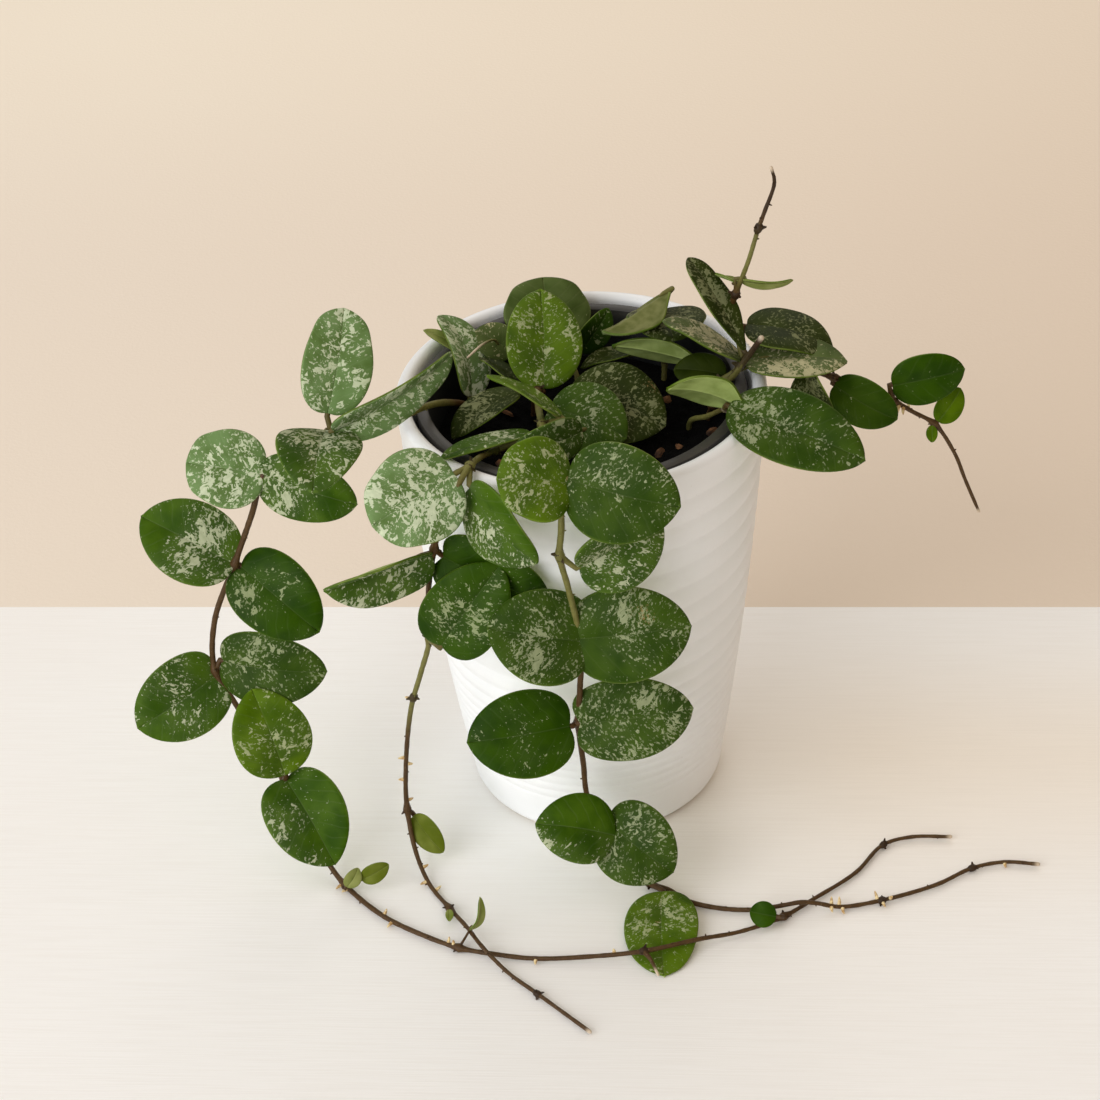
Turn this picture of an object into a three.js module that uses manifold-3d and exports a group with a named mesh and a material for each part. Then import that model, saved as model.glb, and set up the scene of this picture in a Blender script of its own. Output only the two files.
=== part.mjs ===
// A potted hoya: long leafy vines that stand in the soil of a plastic nursery pot, which sits in
// a ribbed white ceramic pot. Millimetres, +Z up, origin at the middle of the ceramic pot's base.
import * as THREE from 'three';
import { mergeVertices } from 'three/addons/utils/BufferGeometryUtils.js';
import Module from 'manifold-3d';

const wasm = await Module();
wasm.setup();

// ---------------------------------------------------------------- driving dimensions

// Ceramic pot
const POT_HEIGHT = 156;
const POT_RIM_RADIUS = 60;
const POT_FOOT_RADIUS = 43;
const POT_BELLY = 1.9; // how far the middle of the wall stands out from a straight taper
const POT_WALL = 4.7;
const POT_FLOOR = 7;
const POT_INSIDE = [120, 80, 40]; // heights where the inside follows the outside's curve
const POT_CORNER = 5.5; // rounding of the bottom edge
const RIB_TOP = 147.7; // height of the highest rib
const RIB_BOTTOM = 15; // no rib starts below this
const RIB_PITCH = 8.9; // spacing of the upper ribs
const RIB_PITCH_LOW = 3.7; // spacing of the ribs near the foot
const RIB_WIDEN_FROM = 46; // from this height up the spacing widens ...
const RIB_WIDEN = 0.15; // ... by this much for each millimetre
const RIB_DEPTH = 0.7;
const POT_SIDES = 32;

// Nursery pot, wedged by its rim in the taper of the ceramic pot
const INNER_RIM_HEIGHT = 154.5;
const INNER_RIM_RADIUS = 53.6;
const INNER_RIM_WIDTH = 3.8;
const INNER_RIM_DROP = 9;
const INNER_WALL = 1.4;
const INNER_HEIGHT = 100;
const INNER_FLOOR_RADIUS = 40;
const INNER_SIDES = 28;
const DRAIN_RADIUS = 4;
const DRAIN_CIRCLE = 25;
const DRAIN_COUNT = 6;

// Soil
const SOIL_TOP = 137;
const SOIL_WAVE = 1.2;
const SOIL_GAP = 0.3;
const SOIL_RINGS = [36, 24, 12]; // radii of the rings in its uneven top
const CHIP_COUNT = 10;
const CHIP_SPREAD = 42; // bark chips lie within this radius

// Stems and leaves
const STEM_STEP = 8;
const STEM_SIDES = 5;
const STALK_SIDES = 3;
const STALK_RADIUS = 0.9;
const JOINT_SWELL = 0.8;
const HOLE_GAP = 0.35;
const LEAF_THICKNESS = 1;
const LEAF_STATIONS = [0.06, 0.22, 0.45, 0.68, 0.88]; // from foot to tip, where the blade is measured
const LEAF_FOOT_POWER = 0.45;
const LEAF_TIP_POWER = 0.55;
const LIGHT = new THREE.Vector3(0, -0.81, 0.59); // leaves turn their upper face forward and up

// Every leafy stem: its route from the root up, and its leaves. A leaf is
// [route point it grows from, stalk to the foot of the blade, reach from foot to tip, width,
//  roll away from the light in degrees, fold of the halves in degrees, arch of the middle].
const STEMS = [
  {
    node: 'vine_left', root: 1.3, end: 0.7,
    route: [
      [-33, 20, 112], [-33, 20, 130], [-37, 11, 143], [-43, 0, 152], [-50, -14, 160],
      [-58, -22, 161.5], [-68, -25, 161], [-79, -25, 157], [-88, -22, 151], [-97, -20, 146],
      [-103, -20, 141], [-108, -20, 127], [-116, -20, 107], [-125, -21, 85], [-127, -22, 65],
      [-121, -28, 55], [-113, -33, 39], [-107, -37, 28], [-100, -46, 14], [-93, -55, 4],
      [-88, -62, 1.5], [-75, -78, 1.5], [-62, -88, 1.5], [-50, -95, 1.5], [-38, -99, 1.5],
      [-25, -102, 1.5], [-6, -104, 3], [10, -105, 5], [28, -101, 5], [42, -96, 2.5],
      [57, -89, 1.5], [67, -82, 1.5], [83, -70, 1.5], [94, -57, 1.5], [104, -54, 1.5],
      [117, -55, 1.5],
    ],
    leaves: [
      [7, [1, -3, 5], [38, 14, 17], 19, 57, 25, 2],
      [7, [-1, 3, 8], [7, 19, 26], 23, 10, 8, 1],
      [7, [-2, 0, 3], [-3, -30, -1], 28, 0, 12, 3],
      [10, [-1, 0, 1], [30, -10, -7], 22, 20, 8, 2],
      [10, [0, 0, 1], [-24, 3, 4], 26, 0, 5, 1],
      [12, [0, 0, 0], [-29, 10, 14], 28, 10, 8, 2],
      [12, [2, 0, -1], [24, -16, -16], 27, 5, 8, 2],
      [14, [0, 0, -2], [-26, -13, -10], 28, 0, 8, 2],
      [14, [3, 0, 4], [34, -8, -1], 26, 15, 8, 2],
      [17, [1, -4, 6], [-8, 8, 30], 27, 5, 8, 2],
      [17, [1, -2, 2], [15, -22, -19], 30, 0, 22, 1],
      [20, [1, -5, 4], [4, 3, 5], 6, 20, 10, 1],
      [20, [6, -3, 5], [9, 2, 4], 7, 10, 10, 1],
      [23, [4, 4, 4], [4, 3, 11], 5, 50, 40, 2],
      [30, [-3, -4, 4], [-8, 3, 0], 9, 0, 10, 1],
    ],
  },
  {
    node: 'vine_left', root: 1, end: 0.5,
    route: [[10, -105, 5], [12, -109, 5], [14, -114, 3]],
    leaves: [],
  },
  {
    node: 'vine_front_left', root: 1.2, end: 0.7,
    route: [
      [-21, -8, 112], [-21, -8, 130], [-22, -15, 143], [-28, -29, 152], [-36, -48, 159.5],
      [-40, -55, 157], [-44, -58, 150], [-47, -55, 140], [-49, -51, 131], [-52, -50, 114],
      [-53, -50, 95], [-57, -49, 80], [-61, -48, 66], [-65, -45, 38], [-66, -45, 19],
      [-64, -53, 7], [-60, -63, 1.5], [-53, -76, 1.5], [-47, -88, 3.5], [-43, -97, 4.6],
      [-40, -101, 3.5], [-34, -108, 1.5], [-25, -118, 1.5], [-9, -136, 1.5],
    ],
    leaves: [
      [4, [-5, -4, 0], [-25, -13, -8], 31, 5, 5, 1],
      [4, [0, -6, -4], [18, -19, -16], 26, 50, 12, 2],
      [3, [11, 1, 5], [-28, -11, 0], 13, 66, 10, 1],
      [8, [-1, 0, -2], [-33, -10, -5], 26, -58, 36, -1],
      [8, [3, 1, -4], [31, -10, -13], 26, 28, 8, 2],
      [10, [4, -8, 3], [20, 0, 30], 27, 5, 8, 2],
      [14, [2, 1, -4], [9, -9, -9], 10, 15, 10, 1],
      [17, [0, -3, 2], [0, -4, -1], 3, 0, 20, 0],
    ],
  },
  {
    node: 'vine_front', root: 1.3, end: 0.7,
    route: [
      [-16, 14, 112], [-16, 14, 130], [-15, 11, 143], [-14, 7, 150], [-14, -5, 152],
      [-13, -22, 156], [-12, -38, 159], [-10, -52, 161], [-9, -63, 161], [-9, -68, 149],
      [-10, -68, 138], [-8, -68, 126], [-5, -68, 104], [-6, -67, 83], [-7, -66, 70],
      [-6, -65, 52], [-5, -64, 36], [1, -64, 22], [8, -67, 9], [14, -70, 2],
      [20, -73, 1.5], [26, -79, 1.5], [35, -83, 1.5], [47, -85, 1.5], [58, -86, 3.8],
      [63, -86, 4.6], [68, -86, 3.8], [76, -86, 1.5], [90, -84, 1.5], [109, -78, 1.5],
      [122, -71, 1.5], [133, -69, 1.5], [144, -71, 1.5],
    ],
    leaves: [
      [3, [2, 1, 0], [1, 22, 24], 26, 10, 6, 1],
      [5, [6, 3, 1], [-22, 9, 11], 13, 72, 8, 1],
      [3, [-7, -2, 1], [-21, -13, -7], 17, 52, 12, 2],
      [3, [4, -11, 0], [23, -14, -3], 26, -18, 6, 2],
      [3, [-5, 6, -2], [-13, 10, 6], 10, 64, 10, 1],
      [6, [11, 5, 1], [-21, -8, -1], 16, -30, 10, 2],
      [8, [3, -3, 2], [-21, -5, 7], 27, 10, 5, 2],
      [8, [3, -3, 4], [32, -12, -4], 31, 5, 5, 2],
      [10, [6, -1, -4], [26, 7, 9], 28, 36, 30, 0],
      [12, [1, -2, 2], [-29, -1, 8], 31, 5, 6, 2],
      [12, [0, -2, 3], [34, -2, 4], 31, 5, 6, 2],
      [14, [-3, -3, 1], [-32, -5, 0], 29, 5, 6, 2],
      [14, [1, -3, 2], [35, -2, 5], 28, 10, 6, 2],
      [17, [2, -7, 3], [-25, -1, 8], 24, 12, 8, 2],
      [17, [0, -2, 5], [20, -15, -10], 28, 5, 8, 3],
      [19, [4, -7, 2], [-2, -35, -3], 25, 8, 4, 0],
    ],
  },
  {
    node: 'shoot_right', root: 1.5, end: 0.7,
    route: [
      [40, 6, 112], [40, 6, 130], [43, 4, 143], [45, 1, 153], [52, 2, 159],
      [51, 8, 167], [50, 11, 175], [51, 9, 181], [55, 5, 196], [58, 5, 207],
      [60, 5, 213], [63, 5, 223], [62, 5, 228],
    ],
    leaves: [
      [4, [0, 2, 1], [-24, 5, 13], 20, 68, 5, 1],
      [4, [1, -3, 7], [-16, 21, 23], 13, 38, 12, 1],
      [4, [3, 12, 7], [27, -7, -6], 24, -50, 10, 2],
      [4, [2, 1, 1], [31, -5, 1], 25, -53, 12, 1],
      [3, [2, 4, 0], [-16, 4, 1], 13, 20, 10, 1],
      [2, [-1, 11, 8], [-30, 5, 7], 16, 112, 8, 1],
      [7, [1, -1, 6], [17, -1, -1], 7, 75, 20, 1],
      [7, [0, 1, 4], [-5, 8, -2], 8, 75, 20, 0],
    ],
  },
  {
    node: 'shoot_right', root: 1.3, end: 1,
    route: [[46, 1, 153], [49, -3, 158], [54, -4, 166], [58, -5, 173]],
    leaves: [],
  },
  {
    node: 'shoot_right', root: 1.2, end: 0.6,
    route: [
      [51, 2, 157], [60, 2, 160.5], [68, 1, 158.5], [78, 0, 155], [82, 0, 153],
      [90, 0, 149], [101, 0, 143], [108, 0, 138], [115, 0, 133], [122, 0, 121],
      [126, 0, 110], [131, 0, 97],
    ],
    leaves: [
      [2, [4, -1, -2], [7, -14, -8], 18, 50, 25, 1],
      [4, [0, -1, -2], [19, -7, -10], 17, 25, 8, 1],
      [6, [0, 0, 6], [23, 2, 3], 18, 25, 5, 1],
      [8, [1, 0, 1], [8, 6, 8], 10, 20, 8, 1],
      [8, [-1, -1, 0], [0, -2, -5], 4, 0, 10, 0],
    ],
  },
  {
    node: 'shoot_front_right', root: 1.1, end: 0.9,
    route: [[35, 2, 112], [35, 2, 130], [35, 0, 139], [40, -12, 149], [45, -20, 157]],
    leaves: [
      [4, [6, -4, 2], [-24, -2, 11], 22, 113, 8, 2],
      [4, [1, -5, 4], [39, -23, -7], 26, -18, 8, 2],
    ],
  },
  {
    node: 'shoot_back', root: 1.2, end: 0.8,
    route: [[28, 28, 112], [28, 28, 130], [29, 30, 145], [30, 31, 158], [29, 31, 168]],
    leaves: [
      [4, [2, -3, 4], [-22, -13, -7], 22, -115, 20, 0],
      [3, [-1, 2, 4], [2, -22, 3], 27, -12, 8, 1],
      [2, [-11, -3, 5], [-17, -2, -3], 12, 64, 12, 1],
    ],
  },
  {
    node: 'shoot_centre', root: 1.2, end: 0.8,
    route: [[0, 18, 112], [0, 18, 130], [0, 20, 143], [-3, 27, 149], [-8, 34, 151]],
    leaves: [
      [4, [-1, 1, 0], [-1, 17, 15], 30, 5, 5, -1],
      [3, [4, 6, -1], [10, 4, 13], 12, 35, 15, 1],
      [2, [-4, -15, 6], [30, -14, -4], 31, -25, 6, 2],
    ],
  },
  {
    node: 'shoot_left', root: 1.1, end: 0.7,
    route: [[-34, 23, 112], [-34, 23, 130], [-35, 22, 140], [-31, 28, 147], [-26, 33, 150]],
    leaves: [
      [2, [-1, -5, 3], [-8, 21, 19], 20, 52, 15, 4],
      [3, [-5, -1, 6], [-14, 2, 9], 6, 40, 10, 1],
      [4, [4, -2, 0], [-11, 4, 7], 14, 20, 8, 1],
    ],
  },
  {
    node: 'shoot_left', root: 0.6, end: 0.4,
    route: [[-26, 33, 150], [-27, 30, 156], [-31, 24, 158.5], [-36, 19, 157]],
    leaves: [],
  },
];

// ---------------------------------------------------------------- solids

function solidFrom(geometry) {
  const bare = geometry.index ? geometry.toNonIndexed() : geometry.clone();
  bare.deleteAttribute('normal');
  bare.deleteAttribute('uv');
  const merged = mergeVertices(bare, 1e-4);
  return new wasm.Manifold(new wasm.Mesh({
    numProp: 3,
    vertProperties: new Float32Array(merged.attributes.position.array),
    triVerts: new Uint32Array(merged.index.array),
  }));
}

function geometryFrom(solid) {
  const mesh = solid.getMesh();
  const geometry = new THREE.BufferGeometry();
  geometry.setAttribute('position', new THREE.BufferAttribute(mesh.vertProperties, 3));
  geometry.setIndex(new THREE.BufferAttribute(mesh.triVerts, 1));
  geometry.computeVertexNormals();
  return geometry;
}

function joined(solids) {
  return solids.reduce((whole, piece) => whole.add(piece));
}

// A closed solid of revolution about Z, from [radius, height] pairs that run anticlockwise.
function turned(profile, sides) {
  const points = profile.map(([radius, height]) => new THREE.Vector2(radius, height));
  return new THREE.LatheGeometry(points, sides).rotateX(Math.PI / 2);
}

// A closed tube through points, with its own radius at each.
function tube(points, radii, sides) {
  const positions = [];
  const index = [];
  const across = new THREE.Vector3();
  points.forEach((point, i) => {
    const before = points[Math.max(i - 1, 0)];
    const after = points[Math.min(i + 1, points.length - 1)];
    const ahead = after.clone().sub(before).normalize();
    if (i === 0) {
      across.set(Math.abs(ahead.z) < 0.9 ? 0 : 1, 0, Math.abs(ahead.z) < 0.9 ? 1 : 0);
    }
    across.addScaledVector(ahead, -across.dot(ahead)).normalize();
    for (let side = 0; side < sides; side += 1) {
      const spoke = across.clone().applyAxisAngle(ahead, (2 * Math.PI * side) / sides);
      positions.push(...point.clone().addScaledVector(spoke, radii[i]).toArray());
    }
  });
  const last = (points.length - 1) * sides;
  for (let ring = 0; ring < last; ring += sides) {
    for (let side = 0; side < sides; side += 1) {
      const next = (side + 1) % sides;
      index.push(ring + side, ring + next, ring + sides + next);
      index.push(ring + side, ring + sides + next, ring + sides + side);
    }
  }
  for (let side = 1; side < sides - 1; side += 1) {
    index.push(0, side + 1, side);
    index.push(last, last + side, last + side + 1);
  }
  const geometry = new THREE.BufferGeometry();
  geometry.setAttribute('position', new THREE.Float32BufferAttribute(positions, 3));
  geometry.setIndex(index);
  return geometry;
}

// ---------------------------------------------------------------- ceramic pot

function potRadius(height) {
  const share = height / POT_HEIGHT;
  const taper = POT_FOOT_RADIUS + (POT_RIM_RADIUS - POT_FOOT_RADIUS) * share;
  return taper + POT_BELLY * 4 * share * (1 - share);
}

// Ribs stand close together near the foot and an even pitch apart further up.
function ribHeights() {
  const heights = [];
  let height = RIB_TOP;
  while (height > RIB_BOTTOM) {
    heights.push(height);
    const pitch = RIB_PITCH_LOW + (height - RIB_WIDEN_FROM) * RIB_WIDEN;
    height -= Math.min(RIB_PITCH, Math.max(RIB_PITCH_LOW, pitch));
  }
  return heights.reverse();
}

function ceramicPot() {
  const outside = [];
  const ribs = ribHeights();
  ribs.forEach((height, i) => {
    outside.push([potRadius(height), height]);
    const next = ribs[i + 1];
    if (next) {
      const groove = (height + next) / 2;
      const depth = RIB_DEPTH * Math.min(1, (next - height) / RIB_PITCH + 0.2);
      outside.push([potRadius(groove) - depth, groove]);
    }
  });
  const corner = [];
  for (let step = 0; step <= 3; step += 1) {
    const angle = (Math.PI / 2) * (step / 3);
    corner.push([
      potRadius(POT_CORNER) - POT_CORNER * (1 - Math.sin(angle)),
      POT_CORNER * (1 - Math.cos(angle)),
    ]);
  }
  const lip = POT_WALL / 2;
  const top = [];
  for (let step = 0; step <= 4; step += 1) {
    const angle = Math.PI * (step / 4);
    top.push([
      POT_RIM_RADIUS - lip + lip * Math.cos(angle),
      POT_HEIGHT - lip + lip * Math.sin(angle),
    ]);
  }
  const inside = [...POT_INSIDE, POT_FLOOR].map((height) => [potRadius(height) - POT_WALL, height]);
  return turned([[0, 0], ...corner, ...outside, ...top, ...inside, [0, POT_FLOOR]], POT_SIDES);
}

// ---------------------------------------------------------------- nursery pot

const innerFloorHeight = INNER_RIM_HEIGHT - INNER_HEIGHT;
const innerWallTop = INNER_RIM_RADIUS - INNER_RIM_WIDTH + INNER_WALL;

function innerRadius(height) {
  const share = (height - innerFloorHeight) / INNER_HEIGHT;
  return INNER_FLOOR_RADIUS + (innerWallTop - INNER_FLOOR_RADIUS) * share - INNER_WALL;
}

function nurseryPot() {
  const collar = INNER_RIM_HEIGHT - INNER_RIM_DROP;
  const shell = turned([
    [0, innerFloorHeight],
    [INNER_FLOOR_RADIUS, innerFloorHeight],
    [innerRadius(collar) + INNER_WALL, collar],
    [INNER_RIM_RADIUS - 0.6, collar],
    [INNER_RIM_RADIUS, INNER_RIM_HEIGHT - 1],
    [INNER_RIM_RADIUS - 0.8, INNER_RIM_HEIGHT],
    [INNER_RIM_RADIUS - INNER_RIM_WIDTH + 0.4, INNER_RIM_HEIGHT],
    [INNER_RIM_RADIUS - INNER_RIM_WIDTH, INNER_RIM_HEIGHT - 1],
    [innerRadius(innerFloorHeight + INNER_WALL), innerFloorHeight + INNER_WALL],
    [0, innerFloorHeight + INNER_WALL],
  ], INNER_SIDES);
  const drains = [];
  for (let i = 0; i < DRAIN_COUNT; i += 1) {
    const angle = (2 * Math.PI * i) / DRAIN_COUNT;
    const drain = new THREE.CylinderGeometry(DRAIN_RADIUS, DRAIN_RADIUS, 4 * INNER_WALL, 12);
    drain.rotateX(Math.PI / 2);
    drain.translate(
      DRAIN_CIRCLE * Math.cos(angle),
      DRAIN_CIRCLE * Math.sin(angle),
      innerFloorHeight + INNER_WALL / 2,
    );
    drains.push(solidFrom(drain));
  }
  return geometryFrom(solidFrom(shell).subtract(joined(drains)));
}

// ---------------------------------------------------------------- leaves and stems

function bladeShape(share) {
  const peak = LEAF_FOOT_POWER / (LEAF_FOOT_POWER + LEAF_TIP_POWER);
  const outline = (t) => t ** LEAF_FOOT_POWER * (1 - t) ** LEAF_TIP_POWER;
  return outline(share) / outline(peak);
}

// One leaf: a stalk from the joint, and a blade with two halves that fold up along the midrib.
function leafSolids(joint, [, stalk, reach, width, roll, fold, arch]) {
  const foot = joint.clone().add(new THREE.Vector3(...stalk));
  const span = new THREE.Vector3(...reach);
  const along = span.clone().normalize();
  const face = LIGHT.clone().addScaledVector(along, -LIGHT.dot(along)).normalize();
  face.applyAxisAngle(along, THREE.MathUtils.degToRad(roll));
  const side = along.clone().cross(face);
  const lift = THREE.MathUtils.degToRad(fold);
  const midrib = (share) => foot.clone()
    .addScaledVector(span, share)
    .addScaledVector(face, arch * Math.sin(Math.PI * share));
  const edge = (share, sign) => midrib(share)
    .addScaledVector(side, sign * 0.5 * width * bladeShape(share) * Math.cos(lift))
    .addScaledVector(face, 0.5 * width * bladeShape(share) * Math.sin(lift));

  const points = [midrib(0)];
  LEAF_STATIONS.forEach((share) => points.push(edge(share, -1), midrib(share), edge(share, 1)));
  points.push(midrib(1));
  const tip = points.length - 1;
  const upper = [[0, 2, 1], [0, 3, 2]];
  const rim = [0];
  LEAF_STATIONS.forEach((share, i) => {
    const left = 3 * i + 1;
    rim.push(left);
    if (i < LEAF_STATIONS.length - 1) {
      upper.push([left, left + 1, left + 4], [left, left + 4, left + 3]);
      upper.push([left + 1, left + 2, left + 4], [left + 2, left + 5, left + 4]);
    } else {
      upper.push([left, left + 1, tip], [left + 1, left + 2, tip]);
    }
  });
  rim.push(tip);
  for (let i = LEAF_STATIONS.length - 1; i >= 0; i -= 1) {
    rim.push(3 * i + 3);
  }

  const positions = [];
  [0.5, -0.5].forEach((half) => points.forEach((point) => {
    positions.push(...point.clone().addScaledVector(face, half * LEAF_THICKNESS).toArray());
  }));
  const lower = points.length;
  const index = [];
  upper.forEach(([a, b, c]) => index.push(a, b, c, lower + a, lower + c, lower + b));
  rim.forEach((a, i) => {
    const b = rim[(i + 1) % rim.length];
    index.push(a, b, lower + b, a, lower + b, lower + a);
  });
  const blade = new THREE.BufferGeometry();
  blade.setAttribute('position', new THREE.Float32BufferAttribute(positions, 3));
  blade.setIndex(index);

  const stalkEnd = midrib(0.16).addScaledVector(face, -0.35);
  const radius = Math.min(STALK_RADIUS, width / 12);
  const stalkTube = tube([joint, midrib(0).addScaledVector(face, -0.35), stalkEnd],
    [radius * 1.2, radius, radius * 0.7], STALK_SIDES);
  return [solidFrom(blade), solidFrom(stalkTube)];
}

// A ring at every route point and as many between as the length asks for; the stem swells at its
// joints.
function stemRings(stem) {
  const curve = new THREE.CatmullRomCurve3(stem.route.map((point) => new THREE.Vector3(...point)));
  const joints = new Set(stem.leaves.map(([joint]) => joint));
  const last = stem.route.length - 1;
  const rings = [];
  for (let leg = 0; leg < last; leg += 1) {
    const [from, to] = [leg, leg + 1].map((i) => curve.getPoint(i / last));
    const steps = Math.max(1, Math.round(from.distanceTo(to) / STEM_STEP));
    for (let step = 0; step < steps; step += 1) {
      const share = (leg + step / steps) / last;
      const swell = step === 0 && joints.has(leg) ? JOINT_SWELL : 0;
      const radius = THREE.MathUtils.lerp(stem.root, stem.end, share) + swell;
      rings.push({ point: curve.getPoint(share), radius });
    }
  }
  rings.push({ point: curve.getPoint(1), radius: stem.end });
  return rings;
}

function stemTube(stem, extra = 0) {
  const rings = stemRings(stem);
  const points = rings.map(({ point }) => point);
  const radii = rings.map(({ radius }) => radius + extra);
  points[0].z -= extra;
  return solidFrom(tube(points, radii, STEM_SIDES));
}

function stemSolids(stem) {
  const solids = [stemTube(stem)];
  stem.leaves.forEach((leaf) => {
    solids.push(...leafSolids(new THREE.Vector3(...stem.route[leaf[0]]), leaf));
  });
  return solids;
}

// ---------------------------------------------------------------- soil

function randomFrom(seed) {
  let state = seed;
  return () => {
    state = (state * 1103515245 + 12345) % 2147483648;
    return state / 2147483648;
  };
}

function soilHeight(x, y) {
  return SOIL_TOP + SOIL_WAVE * (Math.sin(x / 9 + 1) * Math.cos(y / 7) + 0.4 * Math.sin(y / 4 + x / 5));
}

function soil() {
  const bottom = innerFloorHeight + INNER_WALL + SOIL_GAP;
  const body = turned([
    [0, bottom],
    [innerRadius(bottom) - SOIL_GAP, bottom],
    [innerRadius(SOIL_TOP) - SOIL_GAP, SOIL_TOP],
    ...SOIL_RINGS.map((radius) => [radius, SOIL_TOP]),
    [0, SOIL_TOP],
  ], INNER_SIDES);
  const position = body.attributes.position;
  for (let i = 0; i < position.count; i += 1) {
    const x = position.getX(i);
    const y = position.getY(i);
    if (position.getZ(i) > SOIL_TOP - 1 && Math.hypot(x, y) <= SOIL_RINGS[0] + 1) {
      position.setZ(i, soilHeight(x, y));
    }
  }
  const random = randomFrom(7);
  const chips = [];
  for (let i = 0; i < CHIP_COUNT; i += 1) {
    const chip = new THREE.BoxGeometry(3 + 4 * random(), 2 + 2 * random(), 2);
    chip.rotateX(0.7 * random());
    chip.rotateZ(2 * Math.PI * random());
    const angle = 2 * Math.PI * random();
    const radius = CHIP_SPREAD * Math.sqrt(random());
    const x = radius * Math.cos(angle);
    const y = radius * Math.sin(angle);
    chip.translate(x, y, soilHeight(x, y) + 0.2);
    chips.push(solidFrom(chip));
  }
  const rooted = STEMS.filter((stem) => stem.route[0][2] < SOIL_TOP);
  const holes = joined(rooted.map((stem) => stemTube(stem, HOLE_GAP)));
  return geometryFrom(joined([solidFrom(body), ...chips]).subtract(holes));
}

// ---------------------------------------------------------------- the whole plant

const glaze = new THREE.MeshStandardMaterial({ color: 0xf2f0ec, roughness: 0.35 });
const plastic = new THREE.MeshStandardMaterial({ color: 0x2b2c2e, roughness: 0.55 });
const earth = new THREE.MeshStandardMaterial({ color: 0x1d140e, roughness: 0.95 });
const foliage = new THREE.MeshStandardMaterial({ color: 0x3c6a2a, roughness: 0.5 });

const plant = new THREE.Group();

function place(name, geometry, material) {
  const mesh = new THREE.Mesh(geometry, material.clone());
  mesh.name = name;
  plant.add(mesh);
}

place('ceramic_pot', ceramicPot(), glaze);
place('nursery_pot', nurseryPot(), plastic);
place('soil', soil(), earth);
new Set(STEMS.map((stem) => stem.node)).forEach((name) => {
  const stems = STEMS.filter((stem) => stem.node === name);
  place(name, geometryFrom(joined(stems.flatMap(stemSolids))), foliage);
});

export default plant;
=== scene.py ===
# A potted hoya on a white table: leafy vines rooted in a plastic nursery pot, which sits in a
# ribbed white ceramic pot. The tables below are in millimetres, the finished model in metres.
import math
import random
from collections import namedtuple

import bmesh
import bpy
from mathutils import Matrix, Quaternion, Vector, noise


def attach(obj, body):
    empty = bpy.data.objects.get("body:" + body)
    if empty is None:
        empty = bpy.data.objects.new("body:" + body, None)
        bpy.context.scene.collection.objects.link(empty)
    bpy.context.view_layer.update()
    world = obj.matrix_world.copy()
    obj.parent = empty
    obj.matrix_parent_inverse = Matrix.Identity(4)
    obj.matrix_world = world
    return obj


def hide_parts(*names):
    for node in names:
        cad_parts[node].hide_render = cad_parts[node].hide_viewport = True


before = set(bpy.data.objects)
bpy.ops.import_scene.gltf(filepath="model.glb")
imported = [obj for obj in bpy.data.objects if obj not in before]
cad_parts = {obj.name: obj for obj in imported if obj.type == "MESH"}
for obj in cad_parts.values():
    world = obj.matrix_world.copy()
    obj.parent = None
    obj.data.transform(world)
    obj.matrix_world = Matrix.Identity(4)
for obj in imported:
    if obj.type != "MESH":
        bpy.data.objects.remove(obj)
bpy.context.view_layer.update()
MM = 0.001

# ---------------- camera, table and light

CAMERA_DIP = 0.62924  # radians below the horizon
CAMERA_ROLL = -0.05717
CAMERA_DISTANCE = 993.586
CAMERA_ASIDE = 12.852
CAMERA_LOWER = 73.509
LENS = 91.64
SENSOR = 36
NEAREST, FARTHEST = 0.05, 20  # metres


def add_camera():
    right = Vector((1, 0, 0))
    down = Vector((0, -math.sin(CAMERA_DIP), -math.cos(CAMERA_DIP)))
    ahead = Vector((0, math.cos(CAMERA_DIP), -math.sin(CAMERA_DIP)))
    place = -CAMERA_DISTANCE * ahead - CAMERA_ASIDE * right - CAMERA_LOWER * down
    roll, turn = math.cos(CAMERA_ROLL), math.sin(CAMERA_ROLL)
    axes = (roll * right - turn * down, -(turn * right + roll * down), -ahead)
    bpy.ops.object.camera_add()
    camera = bpy.context.object
    camera.name = "photo_camera"
    camera.matrix_world = Matrix.Translation(place * MM) @ Matrix(axes).transposed().to_4x4()
    camera.data.sensor_width = SENSOR
    camera.data.lens = LENS
    camera.data.clip_start, camera.data.clip_end = NEAREST, FARTHEST
    bpy.context.scene.camera = camera


add_camera()
bpy.context.scene.view_settings.view_transform = "Standard"


def add_light(name, place, aim, size, power, colour):
    bpy.ops.object.light_add(type="AREA", location=place)
    light = bpy.context.object
    light.name = name
    light.rotation_euler = (Vector(aim) - Vector(place)).to_track_quat("-Z", "Y").to_euler()
    light.data.shape = "DISK"
    light.data.size = size
    light.data.energy = power
    light.data.color = colour


add_light("window", (-1.7, -1.7, 1.15), aim=(0, 0, 0.08), size=2.5, power=44, colour=(1, 1, 1))
add_light("bounce", (0.3, 1.5, 1.2), aim=(0, 0.6, 0), size=1.2, power=4.5, colour=(1, 0.99, 0.97))

# ---------------- finishes


def shade(red, green, blue):
    """A colour from a paint chart, 0 to 255, in the linear values that a shader takes."""
    return tuple((part / 255) ** 2.2 for part in (red, green, blue)) + (1,)


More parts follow.
